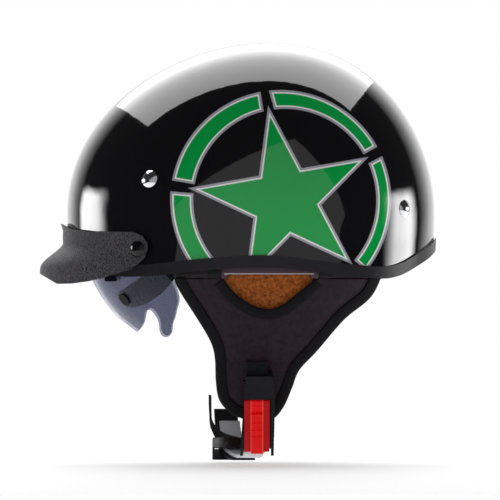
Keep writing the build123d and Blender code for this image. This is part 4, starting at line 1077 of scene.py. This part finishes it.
for base in (0, layer_size):
    for i in range(PAD_TURNS):
        k = (i + 1) % PAD_TURNS
        crown_faces.append([base, base + 1 + i, base + 1 + k])
        for j in range(PAD_RINGS - 1):
            inner, outer = base + 1 + j * PAD_TURNS, base + 1 + (j + 1) * PAD_TURNS
            crown_faces.append([inner + i, outer + i, outer + k, inner + k])
rim = 1 + (PAD_RINGS - 1) * PAD_TURNS
for i in range(PAD_TURNS):
    k = (i + 1) % PAD_TURNS
    crown_faces.append([rim + i, rim + k, layer_size + rim + k, layer_size + rim + i])
crown_mesh = bpy.data.meshes.new("crown_cushion")
crown_mesh.from_pydata(crown_spots, [], crown_faces)
tidy_mesh(crown_mesh)
crown_cushion = finished("crown_cushion", crown_mesh, comfort_fabric, "comfort_fabric", "helmet", "crown_pad")


# Camera and studio. A long lens square to the helmet's left side, soft boxes overhead, in
# front, behind and beside the camera, white surround and a plain pale floor.
CAMERA_AT = (6.0, -0.0023, 0.019)
FIELD_WIDTH = 0.38
SENSOR_WIDTH = 36.0
camera_data = bpy.data.cameras.new("camera")
camera = bpy.data.objects.new("camera", camera_data)
bpy.context.scene.collection.objects.link(camera)
camera.location = CAMERA_AT
camera.rotation_euler = (math.pi / 2, 0.0, math.pi / 2)
camera_data.sensor_width = SENSOR_WIDTH
camera_data.lens = SENSOR_WIDTH * CAMERA_AT[0] / FIELD_WIDTH
camera_data.clip_end = 30.0
bpy.context.scene.camera = camera
bpy.context.scene.view_settings.view_transform = "Standard"


def feather(data, side, top):
    """Let a light fade towards its edges, over shares of its width and height."""
    data.use_nodes = True
    tree = data.node_tree
    place = tree.nodes.new("ShaderNodeNewGeometry")
    axes = add_node(tree, "ShaderNodeSeparateXYZ", Vector=place.outputs["Parametric"])
    strength = 1.0
    for axis, share in (("X", side), ("Y", top)):
        off = reckon(tree, "ABSOLUTE", reckon(tree, "SUBTRACT", axes.outputs[axis], 0.5))
        fade = add_node(tree, "ShaderNodeMapRange", Value=off, From_Min=0.5, From_Max=0.5 - share)
        fade.interpolation_type = "SMOOTHSTEP"
        strength = reckon(tree, "MULTIPLY", strength, fade.outputs[0])
    tree.links.new(strength, tree.nodes["Emission"].inputs["Strength"])


def level_box(name, middle, width, height, brightness):
    """Studio light that faces straight down; brightness is about the radiance that it shows."""
    data = bpy.data.lights.new(name, "AREA")
    data.shape = "RECTANGLE"
    data.size, data.size_y = width, height
    data.energy = brightness * width * height * math.pi
    lamp = bpy.data.objects.new(name, data)
    bpy.context.scene.collection.objects.link(lamp)
    lamp.location = middle
    return lamp


def soft_box(name, middle, aim, width, height, brightness, roll=0.0, side=0.0, top=0.0):
    """Studio light turned to a point, its edges feathered over the given shares."""
    lamp = level_box(name, middle, width, height, brightness)
    if side or top:
        feather(lamp.data, side, top)
    way = (Vector(aim) - Vector(middle)).to_track_quat("-Z", "Y")
    lamp.rotation_euler = way.to_euler()
    lamp.rotation_euler.rotate_axis("Z", roll)
    return lamp


level_box("overhead_box", (-1.4, -0.07, 1.0), 2.8, 1.77, 2.4)
soft_box("front_box", (-0.36, -1.2, 0.10), (-0.36, 0.0, 0.10), 0.9, 0.42, 7.0, side=0.35, top=0.3)
soft_box("rear_box", (-0.20, 1.3, 0.08), (-0.20, 0.0, 0.08), 0.95, 0.45, 7.0, side=0.35, top=0.3)
camera_fill = soft_box("camera_fill", (2.6, -0.3, 0.7), (0.0, 0.0, 0.02), 1.5, 1.5, 2.2)
camera_fill.visible_glossy = False
soft_box("side_fill", (1.5, 0.185, 0.11), (0.0, 0.185, 0.11), 2.7, 2.0, 0.3, math.radians(35))

FULL_WHITE = (1.0, 1.0, 1.0, 1.0)
BACK_FROM, BACK_TO = -0.55, -0.85
DIM = 0.03
world = bpy.data.worlds.new("studio")
bpy.context.scene.world = world
world.use_nodes = True
surround = world.node_tree
for node in list(surround.nodes):
    surround.nodes.remove(node)
surround_out = surround.nodes.new("ShaderNodeOutputWorld")
surround_at = surround.nodes.new("ShaderNodeTexCoord")
surround_axes = add_node(surround, "ShaderNodeSeparateXYZ", Vector=surround_at.outputs["Generated"])
behind = add_node(
    surround, "ShaderNodeMapRange", Value=surround_axes.outputs["X"], From_Min=BACK_FROM,
    From_Max=BACK_TO, To_Min=DIM, To_Max=1.0,
)
ray = surround.nodes.new("ShaderNodeLightPath")
strength = reckon(surround, "MAXIMUM", behind.outputs[0], ray.outputs["Is Camera Ray"])
surround_light = add_node(surround, "ShaderNodeBackground", Color=FULL_WHITE, Strength=strength)
surround.links.new(surround_light.outputs[0], surround_out.inputs["Surface"])

FLOOR_Z = -0.1425
FLOOR_SIZE = 1.6
FLOOR_GLOW = 0.35
bpy.ops.mesh.primitive_plane_add(size=FLOOR_SIZE, location=(0.0, 0.0, FLOOR_Z))
floor = bpy.context.object
floor.name = "floor"
floor_finish = new_finish("floor_card", (0.86, 0.86, 0.86), 0.7)
floor_shader = floor_finish.node_tree.nodes["Principled BSDF"]
floor_shader.inputs["Emission Color"].default_value = FULL_WHITE
floor_shader.inputs["Emission Strength"].default_value = FLOOR_GLOW
floor.data.materials.append(floor_finish)
